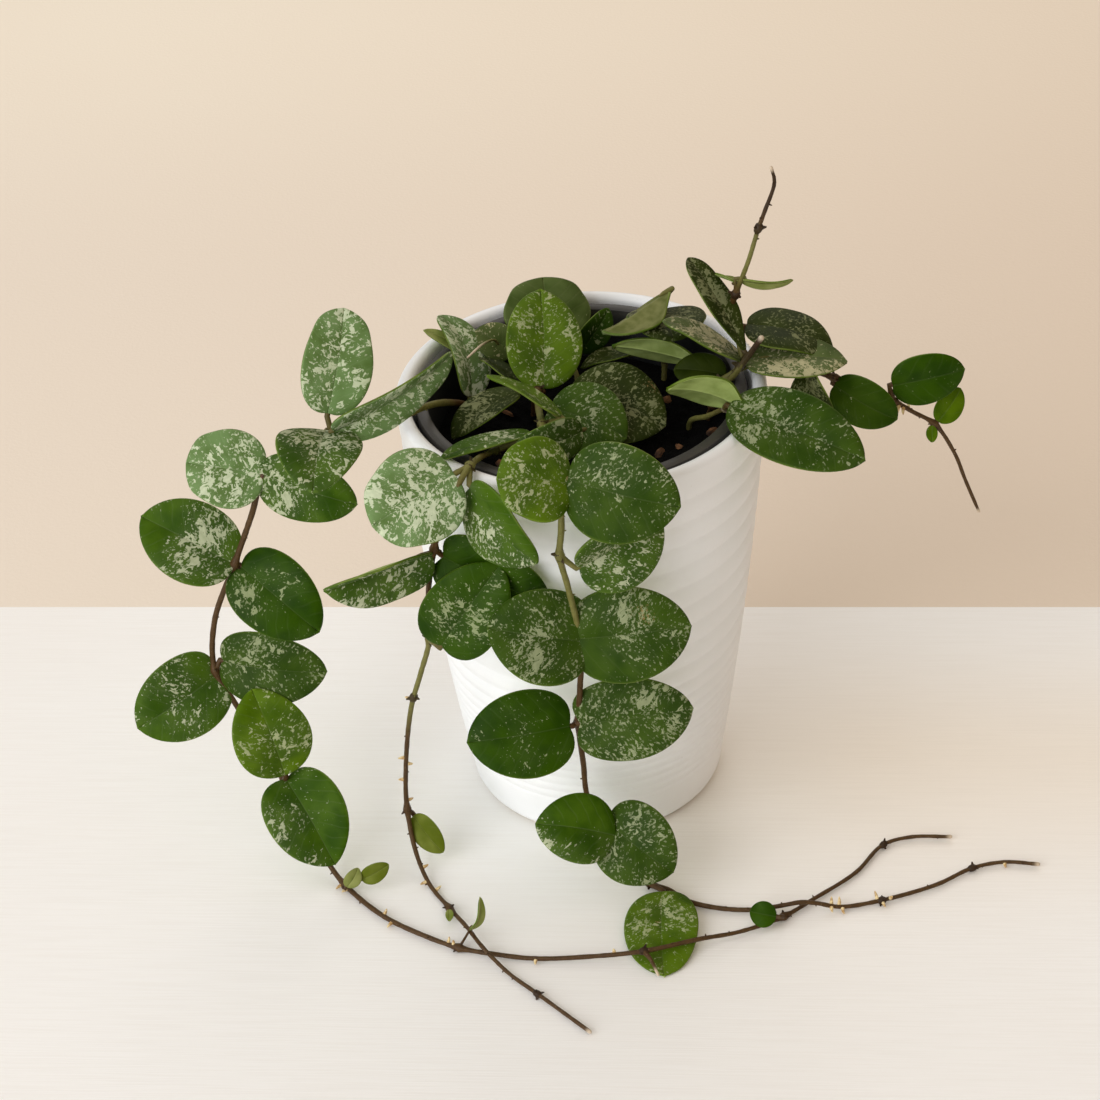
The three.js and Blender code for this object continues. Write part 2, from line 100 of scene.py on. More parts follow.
class Number:
    """A number that varies from place to place. Sums and products of it add their own nodes."""

    def __init__(self, work, socket):
        self.work, self.socket = work, socket

    def __add__(self, other):
        return self.work.math("ADD", self, other)

    def __mul__(self, other):
        return self.work.math("MULTIPLY", self, other)

    def __sub__(self, other):
        return self.work.math("SUBTRACT", self, other)

    def __rsub__(self, other):
        return self.work.math("SUBTRACT", other, self)

    __radd__, __rmul__ = __add__, __mul__

    def part(self, name):
        return Number(self.work, self.socket.node.outputs[name])

    def step(self, low, high):
        ends = {"Value": self, "From Min": low, "From Max": high}
        return self.work.node("MapRange", {"interpolation_type": "SMOOTHSTEP"}, ends)


class Work:
    """The nodes of one finish, or of the room's light."""

    def __init__(self, owner, shader):
        owner.use_nodes = True
        self.tree = owner.node_tree
        self.shader = self.tree.nodes[shader]

    def node(self, kind, settings=None, sockets=None, out=0):
        made = self.tree.nodes.new("ShaderNode" + kind)
        for name, setting in (settings or {}).items():
            setattr(made, name, setting)
        for name, value in (sockets or {}).items():
            if isinstance(value, Number):
                self.tree.links.new(value.socket, made.inputs[name])
            else:
                made.inputs[name].default_value = value
        return Number(self, made.outputs[out])

    def math(self, operation, first, second=0.0):
        return self.node("Math", {"operation": operation}, {0: first, 1: second})

    def mix(self, factor, first, second):
        """From one colour to another, each a mix already or as a paint chart gives it."""
        ends = [end if isinstance(end, Number) else shade(*end) for end in (first, second)]
        return self.node("Mix", {"data_type": "RGBA"}, {0: factor, 6: ends[0], 7: ends[1]}, out=2)

    def vector(self, x, y, z):
        return self.node("CombineXYZ", None, {0: x, 1: y, 2: z})

    def parts(self, vector):
        split = self.node("SeparateXYZ", None, {0: vector})
        return split, split.part("Y"), split.part("Z")

    def place(self):
        """Object coordinates in millimetres."""
        there = self.node("TexCoord", None, None, out="Object")
        return self.node("VectorMath", {"operation": "SCALE"}, {0: there, "Scale": 1000.0})

    def blade(self):
        """Millimetres across and along a leaf, from the foot of its midrib."""
        return self.parts(self.node("UVMap", {"uv_map": "blade"}))

    def noise(self, where, scale, detail=2.0, rough=0.5, bent=0.0):
        sockets = {"Vector": where, "Scale": scale, "Detail": detail, "Roughness": rough}
        return self.node("TexNoise", None, {**sockets, "Distortion": bent})

    def attribute(self, name):
        return self.node("Attribute", {"attribute_name": name}, None, out="Fac")

    def feed(self, socket, value):
        self.tree.links.new(value.socket, self.shader.inputs[socket])


class Finish(Work):
    """One material, with its shader."""

    def __init__(self, name, **sockets):
        self.material = bpy.data.materials.new(name)
        super().__init__(self.material, "Principled BSDF")
        for socket, value in sockets.items():
            self.shader.inputs[socket.replace("_", " ")].default_value = value

    def paint(self, factor, first, second):
        self.feed("Base Color", self.mix(factor, first, second))

    def bump(self, height, depth):
        """depth is in millimetres for a height of one."""
        sockets = {"Height": height, "Distance": depth * MM, "Strength": 1.0}
        self.feed("Normal", self.node("Bump", None, sockets))


def room_light():
    """Soft light from all round: brighter overhead, dimmer and warmer from the right."""
    world = bpy.data.worlds.new("room")
    bpy.context.scene.world = world
    work = Work(world, "Background")
    right, _, up = work.parts(work.node("TexCoord", None, None, out="Generated"))
    work.feed("Strength", 0.36 + up * 0.46 - right * 0.17)
    work.feed("Color", work.mix(right.step(-0.8, 0.8), (250, 252, 255), (255, 232, 203)))


room_light()


def table_finish():
    work = Finish("table paint", Roughness=0.55)
    where = work.place()
    x, y, z = work.parts(where)
    grain = work.noise(work.vector(x * 0.03, y * 1.3, z), 1.0, 3, 0.6)
    patch = work.noise(where, 0.006, 2)
    pale = work.mix(patch.step(0.3, 0.7), (248, 246, 243), (250, 249, 247))
    inwards = HALF_GROUND - y  # from the back edge
    # Painted shadow: right of the pot, where its shadow falls, the table is painted warmer and darker. This
    # fades out towards the back edge and towards the front.
    aside = x.step(30, 130) * inwards.step(0, 90) * (190 - inwards).step(0, 110)
    with_painted_shading = work.mix(aside, pale, (243, 234, 222))
    work.paint((0.62 - grain).step(0.0, 0.3) * 0.10, with_painted_shading, (216, 208, 197))
    work.bump(grain, 0.08)
    return work.material


def wall_finish():
    work = Finish("wall paint", Roughness=0.8)
    where = work.place()
    x, y, _ = work.parts(where)
    mottle = work.noise(where, 0.01, 3)
    # Painted light and shade: the wall is painted darker and warmer towards the right, where less of the
    # window's light falls. It is painted lighter far back from the table's edge.
    aside = x.step(-350, 420)
    near = work.mix(aside, (237, 225, 210), (227, 209, 189))
    far = work.mix(aside, (245, 235, 218), (231, 215, 195))
    beyond = HALF_GROUND + y  # from the table's edge
    with_painted_shading = work.mix(beyond.step(230, 520), near, far)
    work.paint(mottle * 0.12, with_painted_shading, (236, 216, 194))
    work.bump(work.noise(where, 0.6, 2), 0.1)
    return work.material


def glaze_finish():
    work = Finish("satin white glaze", Roughness=0.38, IOR=1.45)
    where = work.place()
    foot_ring = (1.6 - work.parts(where)[2]).step(0.0, 0.8)
    cloud = work.noise(where, 0.035, 3)
    pooled = work.mix(cloud.step(0.35, 0.7), (243, 245, 247), (247, 248, 250))
    pin = work.noise(where, 1.2, 1)
    speckled = work.mix(pin.step(0.74, 0.80) * 0.25, pooled, (212, 204, 192))
    clay = work.mix(work.noise(where, 0.8, 3), (222, 212, 196), (206, 193, 172))
    work.paint(foot_ring, speckled, clay)
    work.feed("Roughness", 0.34 + cloud * 0.12 + foot_ring * 0.4)
    work.bump(work.noise(where, 0.25, 3), 0.12)
    return work.material


def nursery_finish():
    work = Finish("moulded dark plastic", Roughness=0.5)
    where = work.place()
    scuff = work.noise(where, 0.12, 4, 0.65)
    dust = work.noise(where, 0.9, 2)
    z = work.parts(where)[2]
    deep = work.mix(scuff, (26, 27, 29), (44, 45, 47))
    # Painted light: the rim is painted a lighter, browner grey than the dark plastic below it, for the light
    # that the rim's top catches.
    rim = work.mix(scuff, (46, 45, 43), (78, 75, 71))
    base = work.mix(z.step(INNER_RIM_HEIGHT - 5, INNER_RIM_HEIGHT - 1), deep, rim)
    work.paint(dust.step(0.6, 0.8) * 0.25, base, (110, 104, 96))
    work.feed("Roughness", 0.42 + scuff * 0.25)
    work.bump(dust, 0.05)
    return work.material


def soil_finish():
    work = Finish("potting soil", Roughness=0.95, Specular_IOR_Level=0.15)
    where = work.place()
    clod = work.noise(where, 0.28, 4, 0.7)
    crumb = work.noise(where, 1.1, 3, 0.6)
    fibre = work.noise(where, 0.6, 4, 0.75, 1.5)
    dark = work.mix(clod.step(0.35, 0.7), (4, 3, 2), (12, 9, 6))
    work.paint(fibre.step(0.66, 0.74) * 0.6, dark, (58, 38, 24))
    work.bump(crumb + clod, 1.1)
    return work.material


def bark_finish():
    work = Finish("bark chip", Roughness=0.85)
    where = work.place()
    x, y, z = work.parts(where)
    layer = work.noise(work.vector(x * 0.3, y * 0.3, z * 1.6), 0.8, 3, 0.6)
    tint = work.noise(where, 0.16, 1)
    brown = work.mix(tint.step(0.35, 0.65), (60, 40, 26), (150, 104, 66))
    work.paint(layer.step(0.4, 0.65) * 0.7, brown, (52, 34, 22))
    work.bump(layer, 0.5)
    return work.material


def stem_finish():
    work = Finish("stem skin", Roughness=0.5, Specular_IOR_Level=0.25)
    where = work.place()
    streak = work.noise(where, 0.5, 3, 0.6)
    brown = work.mix(streak, (52, 35, 17), (94, 70, 40))
    olive = work.mix(streak, (82, 82, 38), (130, 126, 72))
    skin = work.mix(work.attribute("youth").step(0.0, 1.0), brown, olive)
    pore = work.noise(where, 2.2, 1)
    skin = work.mix(pore.step(0.68, 0.76) * 0.4, skin, (166, 150, 122))
    knotted = work.mix(streak, (32, 22, 14), (64, 46, 30))
    skin = work.mix(work.attribute("knot").step(0.2, 0.8) * 0.85, skin, knotted)
    work.paint(work.attribute("dryness").step(0.2, 0.8), skin, (206, 188, 164))
    work.bump(streak + pore * 0.4, 0.15)
    return work.material


def nub_finish():
    work = Finish("root nub", Roughness=0.6)
    where = work.place()
    tone = work.noise(where, 0.7, 2)
    work.paint(tone.step(0.35, 0.65), (180, 142, 90), (236, 216, 166))
    work.bump(work.noise(where, 3.0, 1), 0.05)
    return work.material


# Leaf colours: deep and light green, the splashes' silver, and how many patches and flecks.
LOOKS = {
    "silver": ((76, 102, 44), (104, 132, 80), (202, 211, 180), 0.58, 0.55),
    "blotched": ((46, 72, 4), (66, 92, 20), (182, 188, 156), 0.36, 0.50),
    "speckled": ((40, 62, 2), (56, 78, 16), (150, 158, 122), 0.20, 0.50),
    "plain": ((36, 60, 1), (50, 76, 4), (148, 158, 118), -0.15, 0.05),
    "dark": ((33, 43, 6), (49, 59, 18), (124, 128, 92), 0.15, 0.45),
    "fresh": ((58, 82, 2), (82, 108, 14), (164, 171, 130), 0.30, 0.42),
    "olive": ((60, 75, 32), (83, 97, 53), (184, 178, 140), 0.38, 0.60),
    "young": ((104, 116, 48), (146, 152, 92), (186, 188, 150), -0.60, -0.50),
    "bud": ((86, 98, 24), (114, 124, 54), (170, 174, 136), -0.60, -0.50),
}
VEIN_LEAN = (0.80, 0.60)  # how far the side veins run outwards, and towards the tip
VEIN_GAP = 3.6


def leaf_finish(name):
    deep, light, silver, patch_amount, fleck_amount = LOOKS[name]
    work = Finish("leaf face " + name, Roughness=0.42, Specular_IOR_Level=0.05)
    across, along, _ = work.blade()
    seed = work.attribute("seed")
    splash = work.attribute("splash")
    half = work.math("GREATER_THAN", across, 0.0)
    out = work.math("ABSOLUTE", across)
    with_vein = out * VEIN_LEAN[0] + along * VEIN_LEAN[1]
    over_vein = along * VEIN_LEAN[0] - out * VEIN_LEAN[1]
    lane = seed * 7.3 + half * 3.1

    def streaks(length, width):
        return work.vector(with_vein * (1 / length), over_vein * (1 / width), lane)

    zone = work.noise(work.vector(across, along, seed * 3.7), 0.10, 1)
    ragged = work.noise(streaks(3.2, 2.4), 1.0, 3, 0.68, 0.6)
    dashes = work.noise(streaks(1.15, 0.85), 1.0, 2, 0.6, 0.3)
    drift = splash * 0.20 + (zone - 0.5) * 0.40
    patches = (ragged + dashes * 0.14 + drift + (patch_amount * 0.17 - 0.745)).step(0.0, 0.022)
    haze = (drift * 0.9 + (fleck_amount * 0.16 + 0.02)).step(-0.04, 0.18)
    flecks = (dashes + drift * 0.8 + (fleck_amount * 0.15 - 0.675)).step(0.0, 0.06)
    worn = work.noise(streaks(2.2, 1.4), 1.3, 2)
    mask = work.math("MAXIMUM", patches * (0.58 + worn * 0.5), flecks * (0.2 + worn * 0.7))
    cloud = work.noise(work.vector(across, along, lane), 0.11, 2)
    green = work.mix(cloud.step(0.3, 0.7), deep, light)
    vein = work.math("SINE", over_vein * (math.tau / VEIN_GAP) + cloud * 6.0)
    vein = vein.step(0.80, 1.0) * out.step(0.5, 4.0)
    rib = (0.45 - out).step(0.0, 0.35)
    paler = [min(255, part + 30) for part in light]
    green = work.mix(haze * 0.045 + vein * 0.02 + rib * 0.04, green, silver)
    painted = work.mix(work.math("MINIMUM", mask, 1.0), green, silver)
    edge = work.attribute("edge").step(0.93, 1.0)
    painted = work.mix(edge * 0.4, painted, paler)
    pits = work.noise(work.vector(across, along, lane), 1.1, 3, 0.7)
    hurt = (work.attribute("scar") * 0.5 + (pits - 0.5) * 1.6).step(0.4, 0.6)
    work.paint(hurt * 0.6, painted, (150, 124, 84))
    work.feed("Roughness", 0.40 + mask * 0.12 + cloud * 0.08)
    work.bump(ragged * 0.35 + dashes * 0.1 - rib * 0.5 - vein * 0.16, 0.2)
    return work.material


def underside_finish(name, dull, bright):
    work = Finish("leaf underside " + name, Roughness=0.55, Specular_IOR_Level=0.05)
    across, along, _ = work.blade()
    out = work.math("ABSOLUTE", across)
    cloud = work.noise(work.vector(across, along, work.attribute("seed") * 5.0), 0.2, 3)
    green = work.mix(cloud.step(0.3, 0.7), dull, bright)
    rib = (0.8 - out).step(0.0, 0.7)
    work.paint(rib * 0.25, green, [part + 24 for part in bright])
    work.bump(cloud * 0.4 + rib * 0.9, 0.2)
    return work.material


def margin_finish():
    work = Finish("leaf margin", Roughness=0.5, Specular_IOR_Level=0.2)
    tone = work.noise(work.place(), 0.12, 2)
    work.paint(tone.step(0.35, 0.65), (74, 94, 24), (106, 122, 50))
    work.bump(tone, 0.1)
    return work.material


FACES = {name: leaf_finish(name) for name in LOOKS}
BRIGHT_UNDERSIDE = underside_finish("bright", (141, 159, 88), (170, 188, 113))
DULL_UNDERSIDE = underside_finish("dull", (84, 90, 46), (116, 118, 74))
MARGIN = margin_finish()
STEM = stem_finish()
NUB = nub_finish()

# ---------------- ways of working


def mode(name):
    bpy.ops.object.mode_set(mode=name)


def clear():
    if bpy.context.mode != "OBJECT":
        mode("OBJECT")
    bpy.ops.object.select_all(action="DESELECT")


def named(name):
    piece = bpy.context.object
    piece.name = piece.data.name = name
    return piece


def hold(piece):
    clear()
    piece.select_set(True)
    bpy.context.view_layer.objects.active = piece


def marks(piece, *names):
    """The piece's own numbers at each vertex, one list for each name, made where there are none."""
    attributes = piece.data.attributes
    for name in names:
        if name not in attributes:
            attributes.new(name, "FLOAT", "POINT")
    return [attributes[name].data for name in names]


def choose(piece, test):
    """Selects the vertices of the piece in hand, in edit mode, whose place passes the test."""
    mesh = bmesh.from_edit_mesh(piece.data)
    for vertex in mesh.verts:
        vertex.select_set(bool(test(vertex.co)))
    mesh.select_flush_mode()
    bmesh.update_edit_mesh(piece.data)


def draw_out(lift, scale, centre):
    """Extrudes what is selected by a lift, and then scales it about a centre."""
    bpy.ops.mesh.extrude_region_move(TRANSFORM_OT_translate={"value": lift})
    bpy.ops.transform.resize(value=scale, center_override=centre)


def mend(threshold):
    """Merges doubled vertices of the piece in hand and turns its faces outwards."""
    mode("EDIT")
    bpy.ops.mesh.select_all(action="SELECT")
    bpy.ops.mesh.remove_doubles(threshold=threshold)
    bpy.ops.mesh.normals_make_consistent(inside=False)
    mode("OBJECT")


def modify(piece, kind, **settings):
    hold(piece)
    made = piece.modifiers.new(kind.lower(), kind)
    for name, value in settings.items():
        setattr(made, name, value)
    bpy.ops.object.modifier_apply(modifier=made.name)


def settle(piece):
    hold(piece)
    bpy.ops.object.transform_apply(location=True, rotation=True, scale=True)


def finished(piece, node, angle=180):
    """A piece smoothed but for its sharp edges, which takes the place of a solid or part of it."""
    hold(piece)
    if angle < 180:
        bpy.ops.object.shade_smooth_by_angle(angle=math.radians(angle))
    else:
        bpy.ops.object.shade_smooth()
    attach(piece, "root")
    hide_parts(node)


def copied(piece, name):
    made = bpy.data.objects.new(name, piece.data.copy())
    made.data.name = name
    bpy.context.scene.collection.objects.link(made)
    return made


def placed(blank, name, place, turn, size):
    """A copy of a blank, stretched by a size, turned, and then moved to its place."""
    made = copied(blank, name)
    stretch = Matrix.Diagonal((*(side * MM for side in size), 1))
    made.data.transform(Matrix.Translation(place * MM) @ turn @ stretch)
    return made


def joined(pieces, name):
    clear()
    for piece in pieces:
        piece.select_set(True)
    bpy.context.view_layer.objects.active = pieces[0]
    bpy.ops.object.join()
    return named(name)


def turned(name, outline, sides):
    """A closed round body: a disc, drawn out ring by ring through (radius, height) pairs."""
    clear()
    radius, height = outline[0]
    bpy.ops.mesh.primitive_circle_add(
        vertices=sides, radius=radius * MM, fill_type="NGON", location=(0, 0, height * MM)
    )
    piece = named(name)
    settle(piece)
    mode("EDIT")
    bpy.ops.mesh.select_all(action="SELECT")
    for next_radius, next_height in outline[1:]:
        wider = next_radius / radius
        draw_out((0, 0, (next_height - height) * MM), (wider, wider, 1), (0, 0, next_height * MM))
        radius, height = next_radius, next_height
    mode("OBJECT")
    return piece


# ---------------- table and wall

TABLE_EDGE = (-14.1, 88.1)  # a point on the table's back edge
TABLE_TURN = -5.41  # degrees that the edge turns from the frame's X
GROUND = 14.0  # metres
HALF_GROUND = GROUND / 2 / MM


def ground(name, finish, side):
    clear()
    bpy.ops.mesh.primitive_grid_add(x_subdivisions=4, y_subdivisions=4, size=GROUND)
    piece = named(name)
    turn = Matrix.Rotation(math.radians(TABLE_TURN), 4, "Z")
    edge = Vector((TABLE_EDGE[0] * MM, TABLE_EDGE[1] * MM, 0))
    piece.matrix_world = Matrix.Translation(edge) @ turn @ Matrix.Translation((0, side * GROUND / 2, 0))
    piece.data.materials.append(finish)


ground("table_top", table_finish(), -1)
ground("wall_beyond", wall_finish(), 1)

# ---------------- ceramic pot

POT_HEIGHT = 156
POT_RIM = 60
POT_FOOT = 43
POT_BELLY = 1.9
POT_WALL = 4.7
POT_FLOOR = 7
POT_CORNER = 5.5
RIB_TOP = 147.7
RIB_DEPTH = 0.7
POT_SIDES = 128
LOWEST_RIB = 15
RIB_GAP, LEAST_RIB_GAP = 8.9, 3.7
GAPS_WIDEN = 46  # the ribs stand close up to this height, and further apart above it


def pot_radius(height):
    share = height / POT_HEIGHT
    return POT_FOOT + (POT_RIM - POT_FOOT) * share + POT_BELLY * 4 * share * (1 - share)


def rib_heights():
    heights, height = [], RIB_TOP
    while height > LOWEST_RIB:
        heights.append(height)
        height -= min(RIB_GAP, max(LEAST_RIB_GAP, LEAST_RIB_GAP + (height - GAPS_WIDEN) * 0.15))
    return heights[::-1]


def pot_outline():
    """From the middle of the base, round the foot, up the ribs, over the lip and down inside."""
    outline = [(POT_FOOT * share, 0.0) for share in (0.3, 0.6, 0.78)]
    corner_radius = pot_radius(POT_CORNER) - POT_CORNER
    for step in range(7):
        angle = math.pi / 2 * step / 6
        outline.append((corner_radius + POT_CORNER * math.sin(angle), POT_CORNER * (1 - math.cos(angle))))
    ribs = rib_heights()
    plain = POT_CORNER + 1
    for step in range(3):
        height = plain + (ribs[0] - plain) * step / 3
        outline.append((pot_radius(height), height))
    for low, high in zip(ribs, ribs[1:]):
        depth = RIB_DEPTH * min(1, (high - low) / RIB_GAP + 0.2)
        for share in (0, 0.18, 0.36, 0.46, 0.54, 0.64, 0.82):
            height = low + (high - low) * share
            dip = math.exp(-(((share - 0.5) / 0.17) ** 2))
            outline.append((pot_radius(height) - depth * dip, height))
    lip = POT_WALL / 2
    outline.append((pot_radius(ribs[-1]), ribs[-1]))
    for step in range(13):
        angle = math.pi * step / 12
        outline.append((POT_RIM - lip + lip * math.cos(angle), POT_HEIGHT - lip + lip * math.sin(angle)))
    for height in (148, 136, 120, 100, 80, 60, 40, 20, POT_FLOOR + 3, POT_FLOOR + 1):
        outline.append((pot_radius(height) - POT_WALL, height))
    outline += [(pot_radius(POT_FLOOR) - POT_WALL - 2, POT_FLOOR), (12, POT_FLOOR)]
    return outline


ceramic = turned("ceramic_pot_body", pot_outline(), POT_SIDES)
ceramic.data.materials.append(glaze_finish())
finished(ceramic, "ceramic_pot", 50)

# ---------------- nursery pot

INNER_RIM_HEIGHT = 154.5
INNER_RIM = 53.6
INNER_RIM_WIDTH = 3.8
INNER_RIM_DROP = 9
INNER_WALL = 1.4
INNER_HEIGHT = 100
INNER_FOOT = 40
DRAIN_RADIUS = 4
DRAIN_CIRCLE = 25
DRAIN_HOLES = 6
INNER_SIDES = 112
DRILL_TURN = 0.07  # radians, which keeps a drill's corners off the lines of the floor
INNER_BASE = INNER_RIM_HEIGHT - INNER_HEIGHT


def inner_radius(height):
    top = INNER_RIM - INNER_RIM_WIDTH + INNER_WALL
    return INNER_FOOT + (top - INNER_FOOT) * (height - INNER_BASE) / INNER_HEIGHT - INNER_WALL


def nursery_pot():
    base, top, foot, rim = INNER_BASE, INNER_RIM_HEIGHT, INNER_FOOT, INNER_RIM
    collar, inside = top - INNER_RIM_DROP, rim - INNER_RIM_WIDTH
    outline = [
        (16, base), (34, base), (foot - 0.8, base), (foot, base + 0.8), (foot + 3.2, base + 24),
        (inner_radius(collar) + INNER_WALL, collar - 0.4), (rim - 1.1, collar), (rim - 0.6, collar + 0.5),
        (rim - 0.1, top - 1.2), (rim - 0.2, top - 0.4), (rim - 0.8, top), (inside + 0.6, top),
        (inside, top - 0.5), (inside - 0.1, top - 2.4), (inner_radius(120), 120),
        (inner_radius(base + 3), base + 3), (foot - 3, base + INNER_WALL), (16, base + INNER_WALL),
    ]
    piece = turned("nursery_pot_body", outline, INNER_SIDES)
    drills = []
    for i in range(DRAIN_HOLES):
        angle = math.tau * i / DRAIN_HOLES
        clear()
        place = (DRAIN_CIRCLE * math.cos(angle) * MM, DRAIN_CIRCLE * math.sin(angle) * MM, base * MM)
        bpy.ops.mesh.primitive_cylinder_add(
            vertices=24, radius=DRAIN_RADIUS * MM, depth=8 * MM, location=place,
            rotation=(0, 0, DRILL_TURN),
        )
        drills.append(named("drain_drill"))
    drill = joined(drills, "drain_drill")
    modify(piece, "BOOLEAN", object=drill, operation="DIFFERENCE", solver="EXACT")
    bpy.data.objects.remove(drill)
    piece.data.materials.append(nursery_finish())
    finished(piece, "nursery_pot", 40)


nursery_pot()

# ---------------- soil

SOIL_TOP = 137
SOIL_WAVE = 1.2
CHIP_COUNT = 22
CHIP_SEED = 7
CHIP_REACH = 47
CHIP_BEDS = [(42, -3, 30), (40, -9, 5), (20, 17, 15), (24, -15, 60)]  # large ones: x, y and turn
BED_CHIP = (4.6, 2.9, 1.9)
CHIPPED = [  # the cuts through a block one wide: a point on each, and the way that it faces
    ((0.3, 0.2, 0), (1, 0.5, 0.3)), ((-0.34, 0, 0.1), (-1, 0.3, 0.4)),
    ((0, 0.3, 0.2), (0.2, 1, 0.5)), ((0.1, -0.34, 0), (0.3, -1, 0.2)),
]


def soil_height(x, y):
    swell = math.sin(x / 9 + 1) * math.cos(y / 7)
    return SOIL_TOP + SOIL_WAVE * (swell + 0.4 * math.sin(y / 4 + x / 5))


def bark_chip():
    """One chip, split off a bigger piece of bark: a block with its corners cut away."""
    clear()
    bpy.ops.mesh.primitive_cube_add(size=1)
    piece = named("bark_chip")
    mode("EDIT")
    for place, facing in CHIPPED:
        bpy.ops.mesh.select_all(action="SELECT")
        bpy.ops.mesh.bisect(plane_co=place, plane_no=facing, use_fill=True, clear_outer=True)
    bpy.ops.mesh.select_all(action="SELECT")
    bpy.ops.mesh.bevel(offset=0.06, segments=1)
    mode("OBJECT")
    return piece


def soil():
    bottom = INNER_BASE + INNER_WALL + 0.3
    edge = inner_radius(SOIL_TOP) - 0.3
    outline = [(14, bottom), (inner_radius(bottom) - 0.3, bottom), (inner_radius(95) - 0.3, 95)]
    outline += [(inner_radius(132) - 0.3, 132), (edge, SOIL_TOP - 0.6)]
    outline += [(edge - 0.4 - 1.15 * ring, SOIL_TOP) for ring in range(42)]
    piece = turned("soil_bed", outline, 160)
    for vertex in piece.data.vertices:
        x, y, z = vertex.co / MM
        inwards = min(1, max(0, (edge - math.hypot(x, y)) / 3))
        if z > SOIL_TOP - 0.3:
            crumbs = noise.fractal(Vector((x, y, 3)) / 3.2, 0.8, 2.1, 4)
            clods = noise.noise(Vector((x, y, 9)) / 9)
            vertex.co.z = (SOIL_TOP + inwards * (soil_height(x, y) - SOIL_TOP + crumbs * 1.3 + clods)) * MM
    piece.data.materials.append(soil_finish())
    finished(piece, "soil", 60)

    blank = bark_chip()
    draw = random.Random(CHIP_SEED)
    chips = []
    for i in range(CHIP_COUNT):
        if i < len(CHIP_BEDS):
            x, y, turn = CHIP_BEDS[i]
            size = BED_CHIP
        else:
            angle, radius = draw.uniform(0, math.tau), CHIP_REACH * math.sqrt(draw.random())
            x, y, turn = radius * math.cos(angle), radius * math.sin(angle), draw.uniform(0, 360)
            size = (draw.uniform(1.5, 6), draw.uniform(1.2, 3.4), draw.uniform(0.9, 2))
        tilt = Matrix.Rotation(math.radians(turn), 4, "Z") @ Matrix.Rotation(draw.uniform(-0.5, 0.5), 4, "X")
        place = Vector((x, y, soil_height(x, y) + 0.5))
        chips.append(placed(blank, f"chip_{i}", place, tilt, size))
    bpy.data.objects.remove(blank)
    bed = joined(chips, "bark_chips")
    bed.data.materials.append(bark_finish())
    finished(bed, "soil", 35)


soil()

# ---------------- stems and leaves

# Every stem from the root up: its node, its radius at the root and at the end, its route, and
# leaves: (route point it grows from, stalk to the foot of the blade, reach from foot to tip,
#   width, roll away from the light and fold of the halves in degrees, arch of the middle, its
#   look, and where splashes gather or thin out, each (along, across, reach, how much))
# slim: how thin its skin is drawn beside the solid stem
# green: (route point, reach) where its skin is young
# knobs: route points with a bare joint
# dead: the two route points between which it dies off
# dry: how far its tip has dried
# nubs: pale root tips, each (route point, turn about the stem in radians, length)
STEM_SLIM = 0.92
DRY_TIP = 2.5
Stem = namedtuple(
    "Stem", "root end route leaves slim green knobs dead dry nubs",
    defaults=[(), STEM_SLIM, (), (), (), DRY_TIP, ()],
)
STEMS = {}


def grow(node, *radii, **rest):
    STEMS.setdefault(node, []).append(Stem(*radii, **rest))


